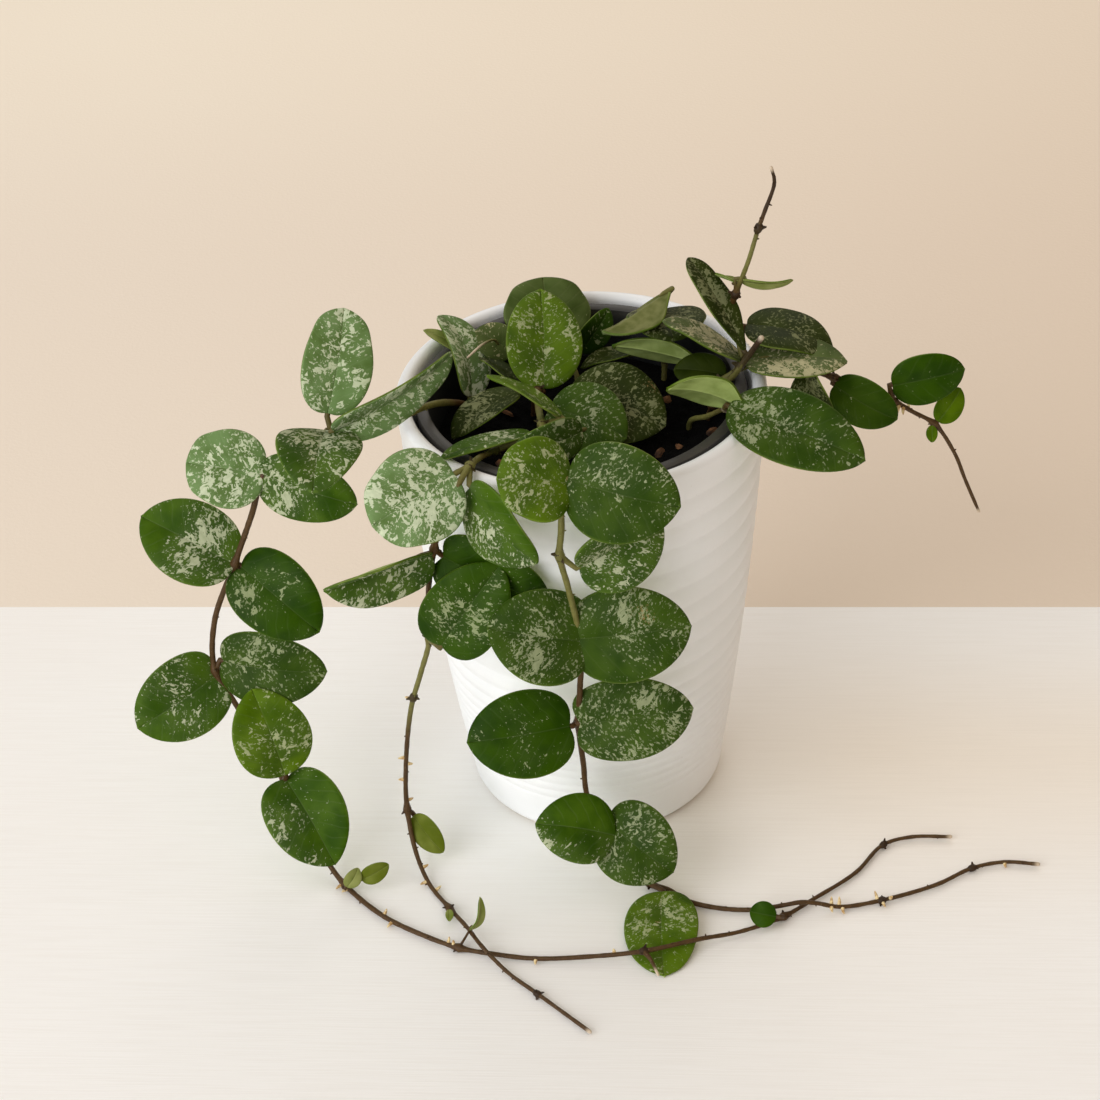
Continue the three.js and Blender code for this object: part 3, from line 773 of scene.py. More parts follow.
grow("vine_left", 1.3, 0.7, green=[(4, 24), (6, 18)], knobs=[27, 33], route=[
    (-33, 20, 112), (-33, 20, 130), (-37, 11, 143), (-43, 0, 152), (-50, -14, 160), (-58, -22, 161.5),
    (-68, -25, 161), (-79, -25, 157), (-88, -22, 151), (-97, -20, 146), (-103, -20, 141), (-108, -20, 127),
    (-116, -20, 107), (-125, -21, 85), (-127, -22, 65), (-121, -28, 55), (-113, -33, 39), (-107, -37, 28),
    (-100, -46, 14), (-93, -55, 4), (-88, -62, 1.5), (-75, -78, 1.5), (-62, -88, 1.5), (-50, -95, 1.5),
    (-38, -99, 1.5), (-25, -102, 1.5), (-6, -104, 3), (10, -105, 5), (28, -101, 5), (42, -96, 2.5),
    (57, -89, 1.5), (67, -82, 1.5), (83, -70, 1.5), (94, -57, 1.5), (104, -54, 1.5), (117, -55, 1.5),
], leaves=[
    (7, (1, -3, 5), (38, 14, 17), 19, 57, 25, 2, "silver", (0.1, 0, 0.25, 0.3)),
    (7, (-1, 3, 8), (7, 19, 26), 23, 10, 8, 1, "silver", (0.08, -0.4, 0.2, 0.6)),
    (7, (-2, 0, 3), (-3, -30, -1), 28, 0, 12, 3, "blotched", (0.3, 0, 0.4, 0.5)),
    (10, (-1, 0, 1), (30, -10, -7), 22, 20, 8, 2, "blotched", (0.15, 0, 0.4, 0.8), (0.85, 0, 0.4, -0.7)),
    (10, (0, 0, 1), (-24, 3, 4), 26, 0, 5, 1, "silver", (0.2, 0, 0.5, 0.25)),
    (12, (0, 0, 0), (-29, 10, 14), 28, 10, 8, 2, "blotched", (0.35, 0, 0.3, 0.45), (0.95, 0, 0.3, -0.6)),
    (12, (2, 0, -1), (24, -16, -16), 27, 5, 8, 2, "plain", (0.15, 0.5, 0.22, 1.2)),
    (14, (0, 0, -2), (-26, -13, -10), 28, 0, 8, 2, "blotched", (0.4, 0, 0.4, -0.15)),
    (14, (3, 0, 4), (34, -8, -1), 26, 15, 8, 2, "speckled", (0.5, -0.5, 0.5, 0.35), (0.5, 0.7, 0.4, -0.3)),
    (17, (1, -4, 6), (-8, 8, 30), 27, 5, 8, 2, "fresh", (0.5, 0, 0.9, 0.02)),
    (17, (1, -2, 2), (15, -22, -19), 30, 0, 22, 1,
     "blotched", (0.5, 0.6, 0.5, 0.4), (0.5, -0.6, 0.6, -0.9)),
    (20, (1, -5, 4), (4, 3, 5), 6, 20, 10, 1, "young"),
    (20, (6, -3, 5), (9, 2, 4), 7, 10, 10, 1, "bud"),
    (23, (4, 4, 4), (4, 3, 11), 5, 50, 40, 2, "young"),
    (30, (-3, -4, 4), (-8, 3, 0), 9, 0, 10, 1, "plain", (0.5, 0, 1, -0.9)),
], nubs=[
    (19.9, 1.4, 1.7), (20.1, 1.2, 1.4), (21.0, -1.1, 1.2), (21.25, 1.3, 1.5), (22.7, -1.0, 1.2),
    (22.85, -0.6, 1.0), (25.0, 1.3, 1.1), (26.4, -1.2, 0.8),
])
grow("vine_left", 1, 0.5, dry=4, route=[
    (10, -105, 5), (12, -109, 5), (14, -114, 3),
])
grow("vine_front_left", 1.2, 0.7, green=[(3, 16), (4, 12), (11, 30)], knobs=[11.75, 22], route=[
    (-21, -8, 112), (-21, -8, 130), (-22, -15, 143), (-28, -29, 152), (-36, -48, 159.5), (-40, -55, 157),
    (-44, -58, 150), (-47, -55, 140), (-49, -51, 131), (-52, -50, 114), (-53, -50, 95), (-57, -49, 80),
    (-61, -48, 66), (-65, -45, 38), (-66, -45, 19), (-64, -53, 7), (-60, -63, 1.5), (-53, -76, 1.5),
    (-47, -88, 3.5), (-43, -97, 4.6), (-40, -101, 3.5), (-34, -108, 1.5), (-25, -118, 1.5), (-9, -136, 1.5),
], leaves=[
    (4, (-5, -4, 0), (-25, -13, -8), 31, 5, 5, 1, "silver", (0.5, 0, 0.8, 0.3)),
    (4, (0, -6, -4), (18, -19, -16), 26, 50, 12, 2,
     "blotched", (0.5, 0.1, 0.5, 0.9), (0.5, -0.8, 0.45, -1.6)),
    (3, (11, 1, 5), (-28, -11, 0), 13, 66, 10, 1, "blotched"),
    (8, (-1, 0, -2), (-33, -10, -5), 26, -58, 36, -1, "blotched", (0.5, 0, 0.8, 0.15)),
    (8, (3, 1, -4), (31, -10, -13), 26, 28, 8, 2, "plain"),
    (10, (4, -8, 3), (20, 0, 30), 27, 5, 8, 2, "plain", (0.45, 0, 0.4, 0.7)),
    (14, (2, 1, -4), (9, -9, -9), 10, 15, 10, 1, "bud"),
    (17, (0, -3, 2), (0, -4, -1), 3, 0, 20, 0, "young"),
], nubs=[
    (11.8, 1.2, 1.3), (12.85, 1.1, 1.3), (12.95, -1.7, 1.0), (13.3, 1.3, 1.1), (13.8, -2.0, 1.2),
    (15.5, -1.4, 1.2), (15.95, 1.4, 1.4), (16.3, -1.4, 1.4),
])
grow("vine_front", 1.3, 0.7, green=[(5, 30), (9, 26), (11, 34)], knobs=[28, 30], route=[
    (-16, 14, 112), (-16, 14, 130), (-15, 11, 143), (-14, 7, 150), (-14, -5, 152), (-13, -22, 156),
    (-12, -38, 159), (-10, -52, 161), (-9, -63, 161), (-9, -68, 149), (-10, -68, 138), (-8, -68, 126),
    (-5, -68, 104), (-6, -67, 83), (-7, -66, 70), (-6, -65, 52), (-5, -64, 36), (1, -64, 22), (8, -67, 9),
    (14, -70, 2), (20, -73, 1.5), (26, -79, 1.5), (35, -83, 1.5), (47, -85, 1.5), (58, -86, 3.8),
    (63, -86, 4.6), (68, -86, 3.8), (76, -86, 1.5), (90, -84, 1.5), (109, -78, 1.5), (122, -71, 1.5),
    (133, -69, 1.5), (144, -71, 1.5),
], leaves=[
    (3, (2, 1, 0), (1, 22, 24), 26, 10, 6, 1, "fresh", (0.4, 0.2, 0.5, 0.3)),
    (5, (6, 3, 1), (-22, 9, 11), 13, 72, 8, 1, "fresh"),
    (3, (-7, -2, 1), (-21, -13, -7), 17, 52, 12, 2, "dark", (0.5, 0, 0.6, 0.5)),
    (3, (4, -11, 0), (23, -14, -3), 26, -18, 6, 2, "speckled", (0.5, 0.1, 0.4, 0.1)),
    (3, (-5, 6, -2), (-13, 10, 6), 10, 64, 10, 1, "dark"),
    (6, (11, 5, 1), (-21, -8, -1), 16, -30, 10, 2, "speckled", (0.5, 0, 0.5, 0.4)),
    (8, (3, -3, 2), (-21, -5, 7), 27, 10, 5, 2, "fresh", (0.5, 0, 0.6, 0.3)),
    (8, (3, -3, 4), (32, -12, -4), 31, 5, 5, 2, "speckled", (0.6, -0.6, 0.35, 0.5), (0.4, 0.6, 0.5, -0.4)),
    (10, (6, -1, -4), (26, 7, 9), 28, 36, 30, 0, "blotched", (0.5, 0, 0.5, 0.3)),
    (12, (1, -2, 2), (-29, -1, 8), 31, 5, 6, 2, "speckled", (0.6, -0.6, 0.4, 0.4)),
    (12, (0, -2, 3), (34, -2, 4), 31, 5, 6, 2, "speckled", (0.2, 0.7, 0.35, -0.7), (0.6, -0.3, 0.5, 0.4)),
    (14, (-3, -3, 1), (-32, -5, 0), 29, 5, 6, 2, "plain", (0.6, 0.6, 0.2, 0.5)),
    (14, (1, -3, 2), (35, -2, 5), 28, 10, 6, 2, "speckled", (0.5, 0, 0.9, 0.25)),
    (17, (2, -7, 3), (-25, -1, 8), 24, 12, 8, 2, "blotched", (0.5, 0.7, 0.5, -1.2), (0.5, -0.6, 0.5, 0.4)),
    (17, (0, -2, 5), (20, -15, -10), 28, 5, 8, 3,
     "speckled", (0.5, 0.8, 0.5, 0.3), (0.5, -0.8, 0.5, 0.3), (0.6, 0, 0.16, -1)),
    (19, (4, -7, 2), (-2, -35, -3), 25, 8, 4, 0, "fresh", (0.2, 0, 0.3, 0.3)),
], nubs=[
    (26.65, -1.4, 1.6), (26.65, 1.2, 1.4), (26.95, -1.1, 1.7), (27.05, 1.3, 1.5), (27.9, -1.2, 1.8),
    (28.0, 1.3, 1.5), (28.15, 0.2, 1.4), (31.0, 1.5, 1.0),
])
grow("shoot_right", 1.5, 0.7, slim=0.78, green=[(4, 14), (8, 15)], knobs=[9], dead=(9, 12), route=[
    (40, 6, 112), (40, 6, 130), (43, 4, 143), (45, 1, 153), (52, 2, 159), (51, 8, 167), (50, 11, 175),
    (51, 9, 181), (55, 5, 196), (58, 5, 207), (60, 5, 213), (63, 5, 223), (62, 5, 228),
], leaves=[
    (4, (0, 2, 1), (-24, 5, 13), 20, 68, 5, 1, "olive", (0.5, 0, 0.6, 0.4)),
    (4, (1, -3, 7), (-16, 21, 23), 13, 38, 12, 1, "dark", (0.55, 0, 0.3, 1.1)),
    (4, (3, 12, 7), (27, -7, -6), 24, -50, 3, 2, "dark", (0.5, 0, 0.6, 0.3)),
    (4, (2, 1, 1), (31, -5, 1), 25, -53, 4, 1, "olive", (0.5, 0.6, 0.5, 0.8), (0.5, -0.6, 0.5, -0.6)),
    (3, (2, 4, 0), (-16, 4, 1), 13, 20, 10, 1, "dark", (0.5, 0, 1, -1.2)),
    (2, (-1, 11, 8), (-30, 5, 7), 16, 112, 8, 1, "plain"),
    (7, (1, -1, 6), (17, -1, -1), 7, 75, 20, 1, "young"),
    (7, (0, 1, 4), (-5, 8, -2), 8, 75, 20, 0, "young"),
])
grow("shoot_right", 1.3, 1, dead=(0, 3), route=[
    (46, 1, 153), (49, -3, 158), (54, -4, 166), (58, -5, 173),
])
grow("shoot_right", 1.2, 0.6, route=[
    (51, 2, 157), (60, 2, 160.5), (68, 1, 158.5), (78, 0, 155), (82, 0, 153), (90, 0, 149), (101, 0, 143),
    (108, 0, 138), (115, 0, 133), (122, 0, 121), (126, 0, 110), (131, 0, 97),
], leaves=[
    (2, (4, -1, -2), (7, -14, -8), 18, 50, 25, 1, "dark", (0.5, 0.6, 0.5, 0.9)),
    (4, (0, -1, -2), (19, -7, -10), 17, 25, 8, 1, "speckled", (0.5, 0, 1, -0.8)),
    (6, (0, 0, 6), (23, 2, 3), 18, 25, 5, 1, "plain"),
    (8, (1, 0, 1), (8, 6, 8), 10, 20, 8, 1, "fresh", (0.5, 0, 1, -0.9)),
    (8, (-1, -1, 0), (0, -2, -5), 4, 0, 10, 0, "fresh", (0.5, 0, 1, -0.9)),
], nubs=[
    (6.3, 1.6, 1.8), (6.5, 1.4, 1.8), (6.7, -1.5, 1.2),
])
grow("shoot_front_right", 1.1, 0.9, green=[(2, 40)], route=[
    (35, 2, 112), (35, 2, 130), (35, 0, 139), (40, -12, 149), (45, -20, 157),
], leaves=[
    (4, (6, -4, 2), (-24, -2, 11), 22, 113, 8, 2, "fresh"),
    (4, (1, -5, 4), (39, -23, -7), 26, -18, 8, 2, "speckled", (0.08, 0, 0.3, 0.9), (0.7, 0, 0.5, -0.3)),
])
grow("shoot_back", 1.2, 0.8, green=[(3, 40)], route=[
    (28, 28, 112), (28, 28, 130), (29, 30, 145), (30, 31, 158), (29, 31, 168),
], leaves=[
    (4, (2, -3, 4), (-22, -13, -7), 22, -115, 20, 0, "olive"),
    (3, (-1, 2, 4), (2, -22, 3), 27, -12, 8, 1, "dark", (0.5, 0.6, 0.6, 0.7)),
    (2, (-11, -3, 5), (-17, -2, -3), 12, 64, 12, 1, "dark"),
])
grow("shoot_centre", 1.2, 0.8, green=[(3, 40)], route=[
    (0, 18, 112), (0, 18, 130), (0, 20, 143), (-3, 27, 149), (-8, 34, 151),
], leaves=[
    (4, (-1, 1, 0), (-1, 17, 15), 30, 5, 5, -1, "olive", (0.5, 0, 1, -0.9)),
    (3, (4, 6, -1), (10, 4, 13), 12, 35, 15, 1, "plain"),
    (2, (-4, -15, 6), (30, -14, -4), 31, -25, 6, 2, "dark", (0.5, 0, 0.9, 0.35)),
])
grow("shoot_left", 1.1, 0.7, green=[(3, 40)], route=[
    (-34, 23, 112), (-34, 23, 130), (-35, 22, 140), (-31, 28, 147), (-26, 33, 150),
], leaves=[
    (2, (-1, -5, 3), (-8, 21, 19), 20, 52, 15, 4, "silver", (0.5, 0, 0.9, 0.3)),
    (3, (-5, -1, 6), (-14, 2, 9), 6, 40, 10, 1, "young"),
    (4, (4, -2, 0), (-11, 4, 7), 14, 20, 8, 1, "olive"),
])
grow("shoot_left", 0.6, 0.4, dry=14, route=[
    (-26, 33, 150), (-27, 30, 156), (-31, 24, 158.5), (-36, 19, 157),
])

# Marks on single leaves, by node and by the leaf's number on it.
# Healed marks: how far along and across the blade, and how far they reach.
SCARS = {
    "vine_front": {8: (0.3, 0.5, 0.06), 10: (0.6, -0.4, 0.14), 15: (0.42, 0.1, 0.07)},
    "shoot_centre": {2: (0.75, -0.9, 0.12)},
}
# How far the two lobes of the foot reach back past the stalk, for a blade one long.
LOBE, NO_LOBE = 0.06, 0.0
LOBES = {
    "vine_left": {2: NO_LOBE, 4: 0.1, 6: 0.13, 7: 0.2, 8: 0.13, 9: NO_LOBE, 10: 0.13},
    "vine_front_left": {4: 0.2, 5: 0.13},
    "vine_front": {0: NO_LOBE, 8: 0.13, 9: 0.2, 10: 0.2, 11: 0.13, 12: 0.2, 13: NO_LOBE, 14: 0.13},
    "shoot_right": {1: NO_LOBE},
    "shoot_front_right": {0: NO_LOBE, 1: NO_LOBE},
    "shoot_back": {0: NO_LOBE},
    "shoot_centre": {0: NO_LOBE},
}
ROUND_TIPS = {
    "vine_left": (0, 1, 4), "vine_front_left": (0,), "vine_front": (6,), "shoot_right": (0, 1, 6),
    "shoot_back": (1,), "shoot_centre": (0,), "shoot_left": (0,),
}
TAPERED_FEET = {"shoot_right": (1, 5), "shoot_front_right": (0,), "shoot_back": (0,)}
TWISTS = {"vine_left": {0: 26}}  # degrees from foot to tip
SMALL_LEAF = 12  # narrower leaves have no lobes
FULL_LEAF = 26  # wide enough for the whole dome, sway and curl
LIGHT = Vector((0, -0.81, 0.59))  # leaves turn their upper face forward and up
BLADE_COLUMNS = (0, 0.05, 0.22, 0.45, 0.68, 0.87, 1)
BLADE_ROWS = 14
BLADE_WIDEST = 0.5025
BLADE_APEX = 0.035
BLADE_THICKNESS = 1.0
BLADE_BEND = 1.6  # how far from the midrib the fold is rounded
DOME = 2.2
DROOP = 0.9
WAVE = 0.5
TIP_START = 0.72
LIES_FLAT = 0.6  # height of a blade's middle where it lies on the surface
STEM_STEP = 1.6
STEM_ROUNDNESS = 3
JOINT_SWELL = 0.75
JOINT_LENGTH = 1.7
DEAD_REACH = 3  # how far the skin dies off around a dead length
KNOB_SIZE, KNOB_LUMP = 1.05, 0.45  # for a stem one thick, and added to it
SPUR_SIZE = 0.8
SPURS_FROM = 3.0  # the route point where they start
NUB_SIZE = 1.6
NUB_UP = Vector((0, -0.4, 0.9))
SEAT = 0.8  # how far out in the stem a spur or a nub stands


def blade_half(turn):
    """Half the width of a blade, out of 1, at a row; rows stand closer near foot and tip."""
    return math.sin(math.pi * turn / 2) ** 0.9 * math.cos(math.pi * turn / 2) ** 1.1 / BLADE_WIDEST


def blade_point(turn, share):
    """How much further the short point at the tip reaches."""
    return BLADE_APEX * max(0, turn - 0.86) / 0.14 * (1 - share)


def blade_blank(lobe):
    """A flat blade one long and two wide, its foot drawn back on both sides by lobe."""
    clear()
    columns = 2 * (len(BLADE_COLUMNS) - 1)
    bpy.ops.mesh.primitive_grid_add(x_subdivisions=columns, y_subdivisions=BLADE_ROWS, size=2)
    piece = named("blade_blank")
    for vertex, across, row in zip(piece.data.vertices, *marks(piece, "across", "row")):
        step = round(vertex.co.x * columns / 2)
        across.value = math.copysign(BLADE_COLUMNS[abs(step)], step)
        row.value = (vertex.co.y + 1) / 2
    mode("EDIT")
    for line in range(BLADE_ROWS, -1, -1):
        turn = line / BLADE_ROWS
        old, new = 2 * turn - 1, (1 - math.cos(math.pi * turn)) / 2 + 2
        choose(piece, lambda place: abs(place.y - old) < 1e-4)
        bpy.ops.transform.resize(value=(max(blade_half(turn), 1e-5), 1, 1), center_override=(0, 0, 0))
        bpy.ops.transform.translate(value=(0, new - old, 0))
    mode("OBJECT")
    for vertex, across, row in zip(piece.data.vertices, *marks(piece, "across", "row")):
        share, turn = abs(across.value), row.value
        vertex.co.x = math.copysign(share * blade_half(turn), vertex.co.x)
        vertex.co.y -= 2 + lobe * 2 * math.sin(math.pi * turn) * (1 - turn) ** 3 * share**1.6
        vertex.co.y += blade_point(turn, share)
    mend(0.0008)
    return piece


def lift_over(distance, fold):
    """Height and reach of a half that folds up by an angle, rounded beside the midrib."""
    if distance < BLADE_BEND:
        rise = distance * distance / (2 * BLADE_BEND)
    else:
        rise = distance - BLADE_BEND / 2
    return rise * math.sin(fold), distance * math.cos(fold)


def eased(value):
    value = min(1, max(0, value))
    return value * value * (3 - 2 * value)


def near_mark(y, share, at, off, far):
    """One at a mark on the blade, and less and less around it."""
    return math.exp(-((y - at) ** 2 + (0.4 * (share - off)) ** 2) / far**2)


def square_to(axis, way):
    """The part of a way that stands square to an axis, one long."""
    return (way - axis * way.dot(axis)).normalized()


def blade_axes(joint, row):
    """The foot of a blade, the way that it points, and the way that its upper face looks."""
    _, stalk, reach, _, roll, *_ = row
    along = Vector(reach).normalized()
    face = square_to(along, LIGHT)
    face.rotate(Quaternion(along, math.radians(roll)))
    return Vector(joint) + Vector(stalk), along, face


def leaf(node, number, joint, row, blank, draw):
    _, _, reach, width, _, fold, arch, look, *patches = row
    foot, along, face = blade_axes(joint, row)
    side = along.cross(face)
    span = Vector(reach)
    length = span.length
    piece = copied(blank, f"{node}_leaf_{number}")
    mesh = piece.data
    seed = draw.uniform(0, 20)
    large = min(1, width / FULL_LEAF)
    sway, curl = draw.uniform(-0.5, 0.5) * large, draw.uniform(0.5, 1.0) * large
    waves = draw.uniform(0.9, 1.5)
    tapered = number in TAPERED_FEET.get(node, ())
    round_tip = number in ROUND_TIPS.get(node, ())
    turning = TWISTS.get(node, {}).get(number, 0)
    healed = SCARS.get(node, {}).get(number)
    flat = []
    names = ("across", "row", "seed", "splash", "edge", "scar")
    for vertex, across, line, own, splash, edge, scar in zip(mesh.vertices, *marks(piece, *names)):
        share, turn = across.value, line.value
        outer = abs(share)
        x, y = vertex.co.x * width / 2, vertex.co.y
        if tapered:
            x *= 0.4 + 0.6 * eased(y / 0.45)
        if round_tip:
            x *= 1 + 0.3 * eased((y - TIP_START) / 0.26)
            y -= blade_point(turn, outer)
        flat.append((x, y * length))
        rise, wide = lift_over(abs(x), math.radians(fold))
        dome = DOME * large * outer * (1 - outer) * math.sin(math.pi * turn) ** 0.5
        phase = math.tau * waves * y + seed + (1.7 if x > 0 else 0)
        wave = WAVE * large * outer * outer * math.sin(phase)
        height = rise + arch * math.sin(math.pi * y) + dome - curl * outer**4 * 0.7 + wave
        height -= DROOP * large * max(0, y - TIP_START) ** 2 / 0.08
        aside = sway * math.sin(math.pi * y) * 1.4
        twist = Quaternion(along, math.radians(turning * (y - 0.5)))
        spot = foot + span * y + twist @ (side * (math.copysign(wide, x) + aside) + face * height)
        vertex.co = (spot.x * MM, spot.y * MM, max(spot.z, LIES_FLAT) * MM)
        own.value = seed
        edge.value = max(outer, 1 - 8 * (1 - y) if y > 0.9 else 0)
        splash.value = sum(much * near_mark(y, share, *mark) for *mark, much in patches)
        if healed:
            scar.value = near_mark(y, share, *healed)
    chart = mesh.uv_layers.new(name="blade")
    for loop in mesh.loops:
        chart.data[loop.index].uv = flat[loop.vertex_index]
    underside = DULL_UNDERSIDE if look in ("olive", "dark") else BRIGHT_UNDERSIDE
    for finish in (FACES[look], underside, MARGIN):
        mesh.materials.append(finish)
    if sum(polygon.normal.dot(face) for polygon in mesh.polygons) < 0:
        mesh.flip_normals()
    thick = BLADE_THICKNESS * min(1, 0.45 + width / 40)
    modify(piece, "SOLIDIFY", thickness=thick * MM, offset=0, material_offset=1, material_offset_rim=2)
    modify(piece, "SUBSURF", levels=1, render_levels=1)
    finished(piece, node)


def smooth_route(route):
    """Points on the smooth line through a route, and how far along the route each is."""
    places = [Vector(place) for place in route]
    places = [2 * places[0] - places[1], *places, 2 * places[-1] - places[-2]]
    made = []
    for leg in range(len(route) - 1):
        corners = places[leg : leg + 4]
        ends = [0]
        for first, second in zip(corners, corners[1:]):
            ends.append(ends[-1] + (second - first).length ** 0.5)
        count = max(2, round((corners[2] - corners[1]).length / STEM_STEP))
        for i in range(count):
            t = ends[1] + (ends[2] - ends[1]) * i / count
            spots = corners
            for far in (1, 2):
                shares = [(t - low) / (high - low) for low, high in zip(ends, ends[far:])]
                spots = [here.lerp(there, share) for here, there, share in zip(spots, spots[1:], shares)]
            share = (t - ends[1]) / (ends[2] - ends[1])
            made.append((spots[0].lerp(spots[1], share), leg + i / count))
    made.append((places[-2], len(route) - 1.0))
    return made


def tube(name, lines):
    """Round tubes along lines of (place, radius), as one closed mesh each."""
    clear()
    bpy.ops.curve.primitive_nurbs_path_add()
    piece = named(name)
    curve = piece.data
    curve.splines.clear()
    curve.bevel_depth = MM
    curve.bevel_resolution = STEM_ROUNDNESS
    curve.use_fill_caps = True
    for line in lines:
        spline = curve.splines.new("POLY")
        spline.points.add(len(line) - 1)
        for point, (place, radius) in zip(spline.points, line):
            point.co = (*(place * MM), 1)
            point.radius = radius
    hold(piece)
    bpy.ops.object.convert(target="MESH")
    mend(1e-6)
    return bpy.context.object


def girth(stem, at, last):
    """A stem's radius at a point of its route, from its root to its end."""
    return stem.root + (stem.end - stem.root) * at / last


def stem_line(stem, points, draw):
    joints = [Vector(stem.route[row[0]]) for row in stem.leaves]
    line = []
    for place, at in points:
        near = min([(place - joint).length for joint in joints], default=99)
        swell = JOINT_SWELL * math.exp(-((near / JOINT_LENGTH) ** 2))
        base = girth(stem, at, len(stem.route) - 1) * stem.slim
        line.append((place, base + swell + draw.uniform(-0.05, 0.05)))
    place, radius = line[-1]
    before = line[-2][0]
    line.append((place + (place - before) * 0.35, radius * 0.5))
    return line


def stalk_line(joint, row):
    foot, along, face = blade_axes(joint, row)
    _, _, reach, width, _, _, arch, *_ = row
    radius = min(0.95, width / 12)
    end = foot + Vector(reach) * 0.15 + face * (arch * math.sin(math.pi * 0.15) - 0.75)
    start = Vector(joint)
    bend = foot - along * min(1.2, (foot - start).length * 0.4) - face * 0.4
    points = [start, start.lerp(bend, 0.5), bend, foot - face * 0.5, foot.lerp(end, 0.6) - face * 0.25, end]
    return [(point, radius * size) for point, size in zip(points, (1.25, 1.0, 1.0, 1.0, 0.8, 0.35))]


def frame_on(points, at):
    """The place and heading of a route at a fraction of its points."""
    for (here, low), (there, high) in zip(points, points[1:]):
        if at <= high + 1e-6:
            return here.lerp(there, (at - low) / (high - low)), (there - here).normalized()


def upright(heading):
    """The turn that lays a blank's height along a heading."""
    return heading.to_track_quat("Z", "Y").to_matrix().to_4x4()


def nub_blank():
    """A short root tip: a cone drawn out twice, so that it tapers in steps."""
    clear()
    bpy.ops.mesh.primitive_cone_add(vertices=8, radius1=0.42, radius2=0.3, depth=0.5, location=(0, 0, 0.25))
    piece = named("nub_blank")
    settle(piece)
    mode("EDIT")
    choose(piece, lambda place: place.z > 0.45)
    draw_out((0.05, 0, 0.3), (0.7, 0.7, 1), (0.05, 0, 0.8))
    draw_out((0.06, 0, 0.2), (0.3, 0.3, 1), (0.11, 0, 1))
    mode("OBJECT")
    return piece


def knob_blank():
    """The scarred knob at a joint: a lumpy ball with three short spurs drawn out of it."""
    clear()
    bpy.ops.mesh.primitive_ico_sphere_add(subdivisions=2, radius=1)
    piece = named("knob_blank")
    for vertex in piece.data.vertices:
        vertex.co *= 1 + 0.18 * noise.noise(vertex.co * 2.1)
    mode("EDIT")
    bpy.ops.mesh.select_mode(type="FACE")
    for facing in (Vector((1, 0.2, 0.3)), Vector((-0.6, 0.8, -0.1)), Vector((-0.3, -0.9, 0.4))):
        bpy.ops.mesh.select_all(action="DESELECT")
        mesh = bmesh.from_edit_mesh(piece.data)
        best = max(mesh.faces, key=lambda spot: spot.normal.dot(facing.normalized()))
        best.select_set(True)
        spur = best.normal * 0.75
        middle = best.calc_center_median() + spur
        bmesh.update_edit_mesh(piece.data)
        draw_out(spur, (0.4, 0.4, 0.4), middle)
    bpy.ops.mesh.select_mode(type="VERT")
    mode("OBJECT")
    for knot in marks(piece, "knot")[0]:
        knot.value = 1
    return piece


def spurs(stem, points, blank, draw):
    """Short dark spurs all along a stem, where roots once started."""
    made = []
    at = SPURS_FROM
    last = points[-1][1]
    while at < last - 0.3:
        place, ahead = frame_on(points, at)
        way = Vector((draw.uniform(-1, 1), draw.uniform(-1, 0.3), draw.uniform(-0.5, 1)))
        out = square_to(ahead, way)
        radius = STEM_SLIM * girth(stem, at, last)
        size = (SPUR_SIZE, SPUR_SIZE, draw.uniform(0.5, 1.0))
        made.append(placed(blank, "spur", place + out * radius * SEAT, upright(out), size))
        for knot in marks(made[-1], "knot")[0]:
            knot.value = draw.choice((0.2, 0.6))
        at += draw.uniform(0.35, 1.1)
    return made


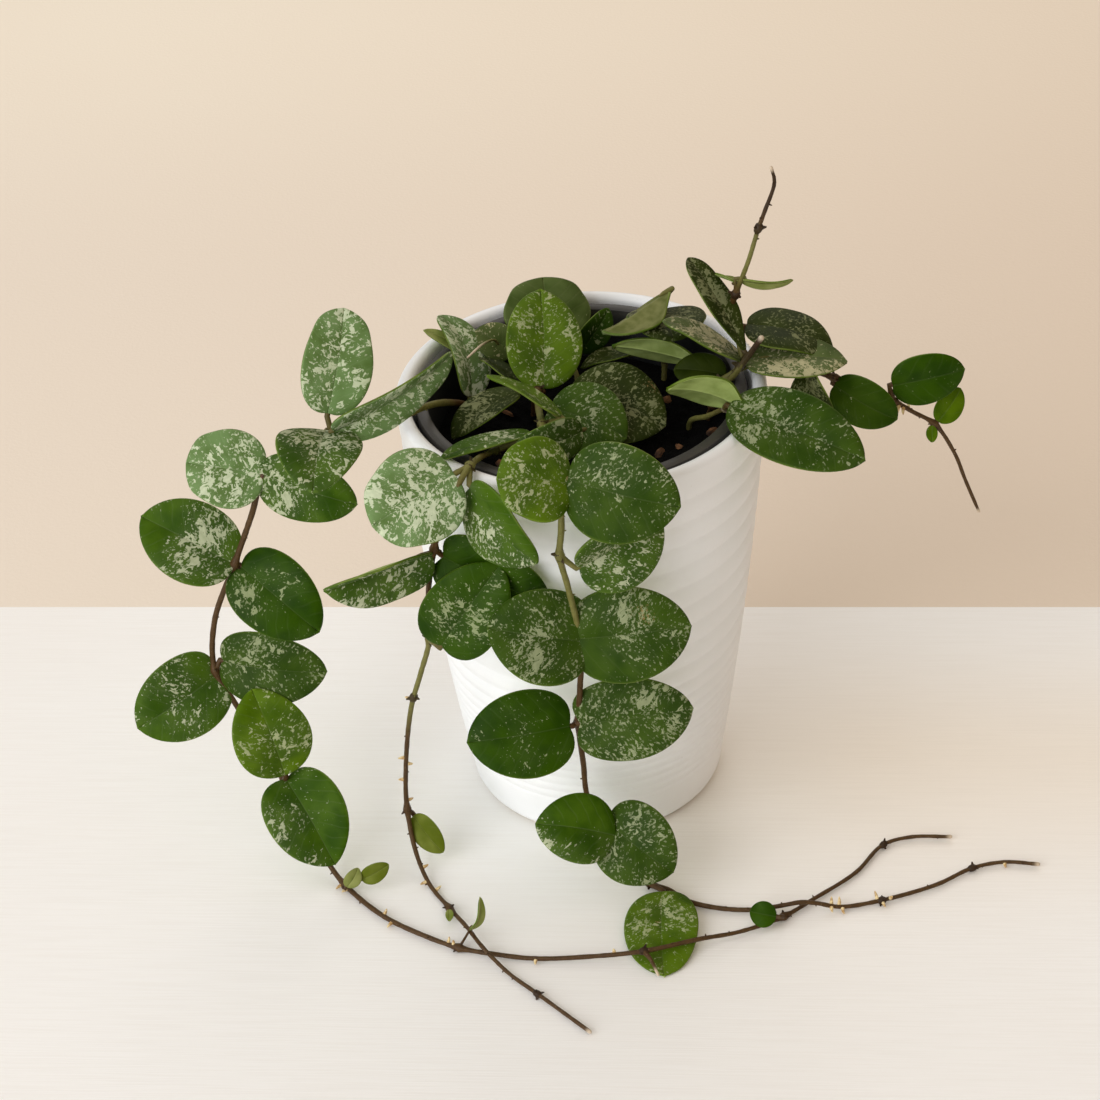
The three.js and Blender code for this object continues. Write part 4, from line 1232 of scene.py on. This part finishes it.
def dress(piece, green, dry, dead):
    """Marks where a stem's skin is green, and where its tips are dry or dead."""
    names = ("youth", "dryness", "knot")
    for vertex, youth, dryness, knot in zip(piece.data.vertices, *marks(piece, *names)):
        vertex.co.z = max(vertex.co.z, 0)
        place = vertex.co / MM
        for start, end in dead:
            share = (place - start).dot(end - start) / (end - start).length_squared
            if 0.1 < share and (start.lerp(end, min(1, share)) - place).length < DEAD_REACH:
                knot.value = max(knot.value, min(0.7, share * 2))
        youth.value = max(1 - ((place - spot).length / reach) ** 2 for spot, reach in green)
        dryness.value = max(1 - (place - tip).length / reach for tip, reach in dry)


def vines():
    lobes = {LOBE, *(lobe for leaves in LOBES.values() for lobe in leaves.values())}
    blanks = {lobe: blade_blank(lobe) for lobe in sorted(lobes)}
    nub, knob = nub_blank(), knob_blank()
    for node, stems in STEMS.items():
        draw = random.Random(node)
        lines, knobs, nubs, dry, dead, green, count = [], [], [], [], [], [], 0
        for stem in stems:
            points = smooth_route(stem.route)
            lines.append(stem_line(stem, points, draw))
            dry.append((Vector(stem.route[-1]), stem.dry))
            green += [(Vector(stem.route[at]), reach) for at, reach in stem.green]
            if stem.dead:
                dead.append([Vector(stem.route[at]) for at in stem.dead])
            for row in stem.leaves:
                joint = stem.route[row[0]]
                lines.append(stalk_line(joint, row))
                lobe = NO_LOBE if row[3] < SMALL_LEAF else LOBES.get(node, {}).get(count, LOBE)
                leaf(node, count, joint, row, blanks[lobe], draw)
                count += 1
            last = len(stem.route)
            for at in sorted({row[0] for row in stem.leaves} | set(stem.knobs)):
                place, ahead = frame_on(points, at)
                size = KNOB_SIZE * girth(stem, at, last) + KNOB_LUMP
                turn = upright(ahead) @ Matrix.Rotation(draw.uniform(0, math.tau), 4, "Z")
                knobs.append(placed(knob, "knob", place, turn, (size, size, 1.5 * size)))
            if stem.leaves:
                knobs += spurs(stem, points, nub, draw)
            for at, angle, length in stem.nubs:
                place, ahead = frame_on(points, at)
                out = square_to(ahead, NUB_UP)
                out.rotate(Quaternion(ahead, angle))
                foot = place + out * (girth(stem, at, last) * SEAT)
                nubs.append(placed(nub, "nub", foot, upright(out), (NUB_SIZE, NUB_SIZE, NUB_SIZE * length)))
        skin = joined([tube(f"{node}_stems", lines), *knobs], f"{node}_stems")
        skin.data.materials.append(STEM)
        dress(skin, green, dry, dead)
        finished(skin, node, 60)
        if nubs:
            roots = joined(nubs, f"{node}_root_nubs")
            roots.data.materials.append(NUB)
            finished(roots, node, 60)
    for blank in (*blanks.values(), nub, knob):
        bpy.data.objects.remove(blank)


vines()
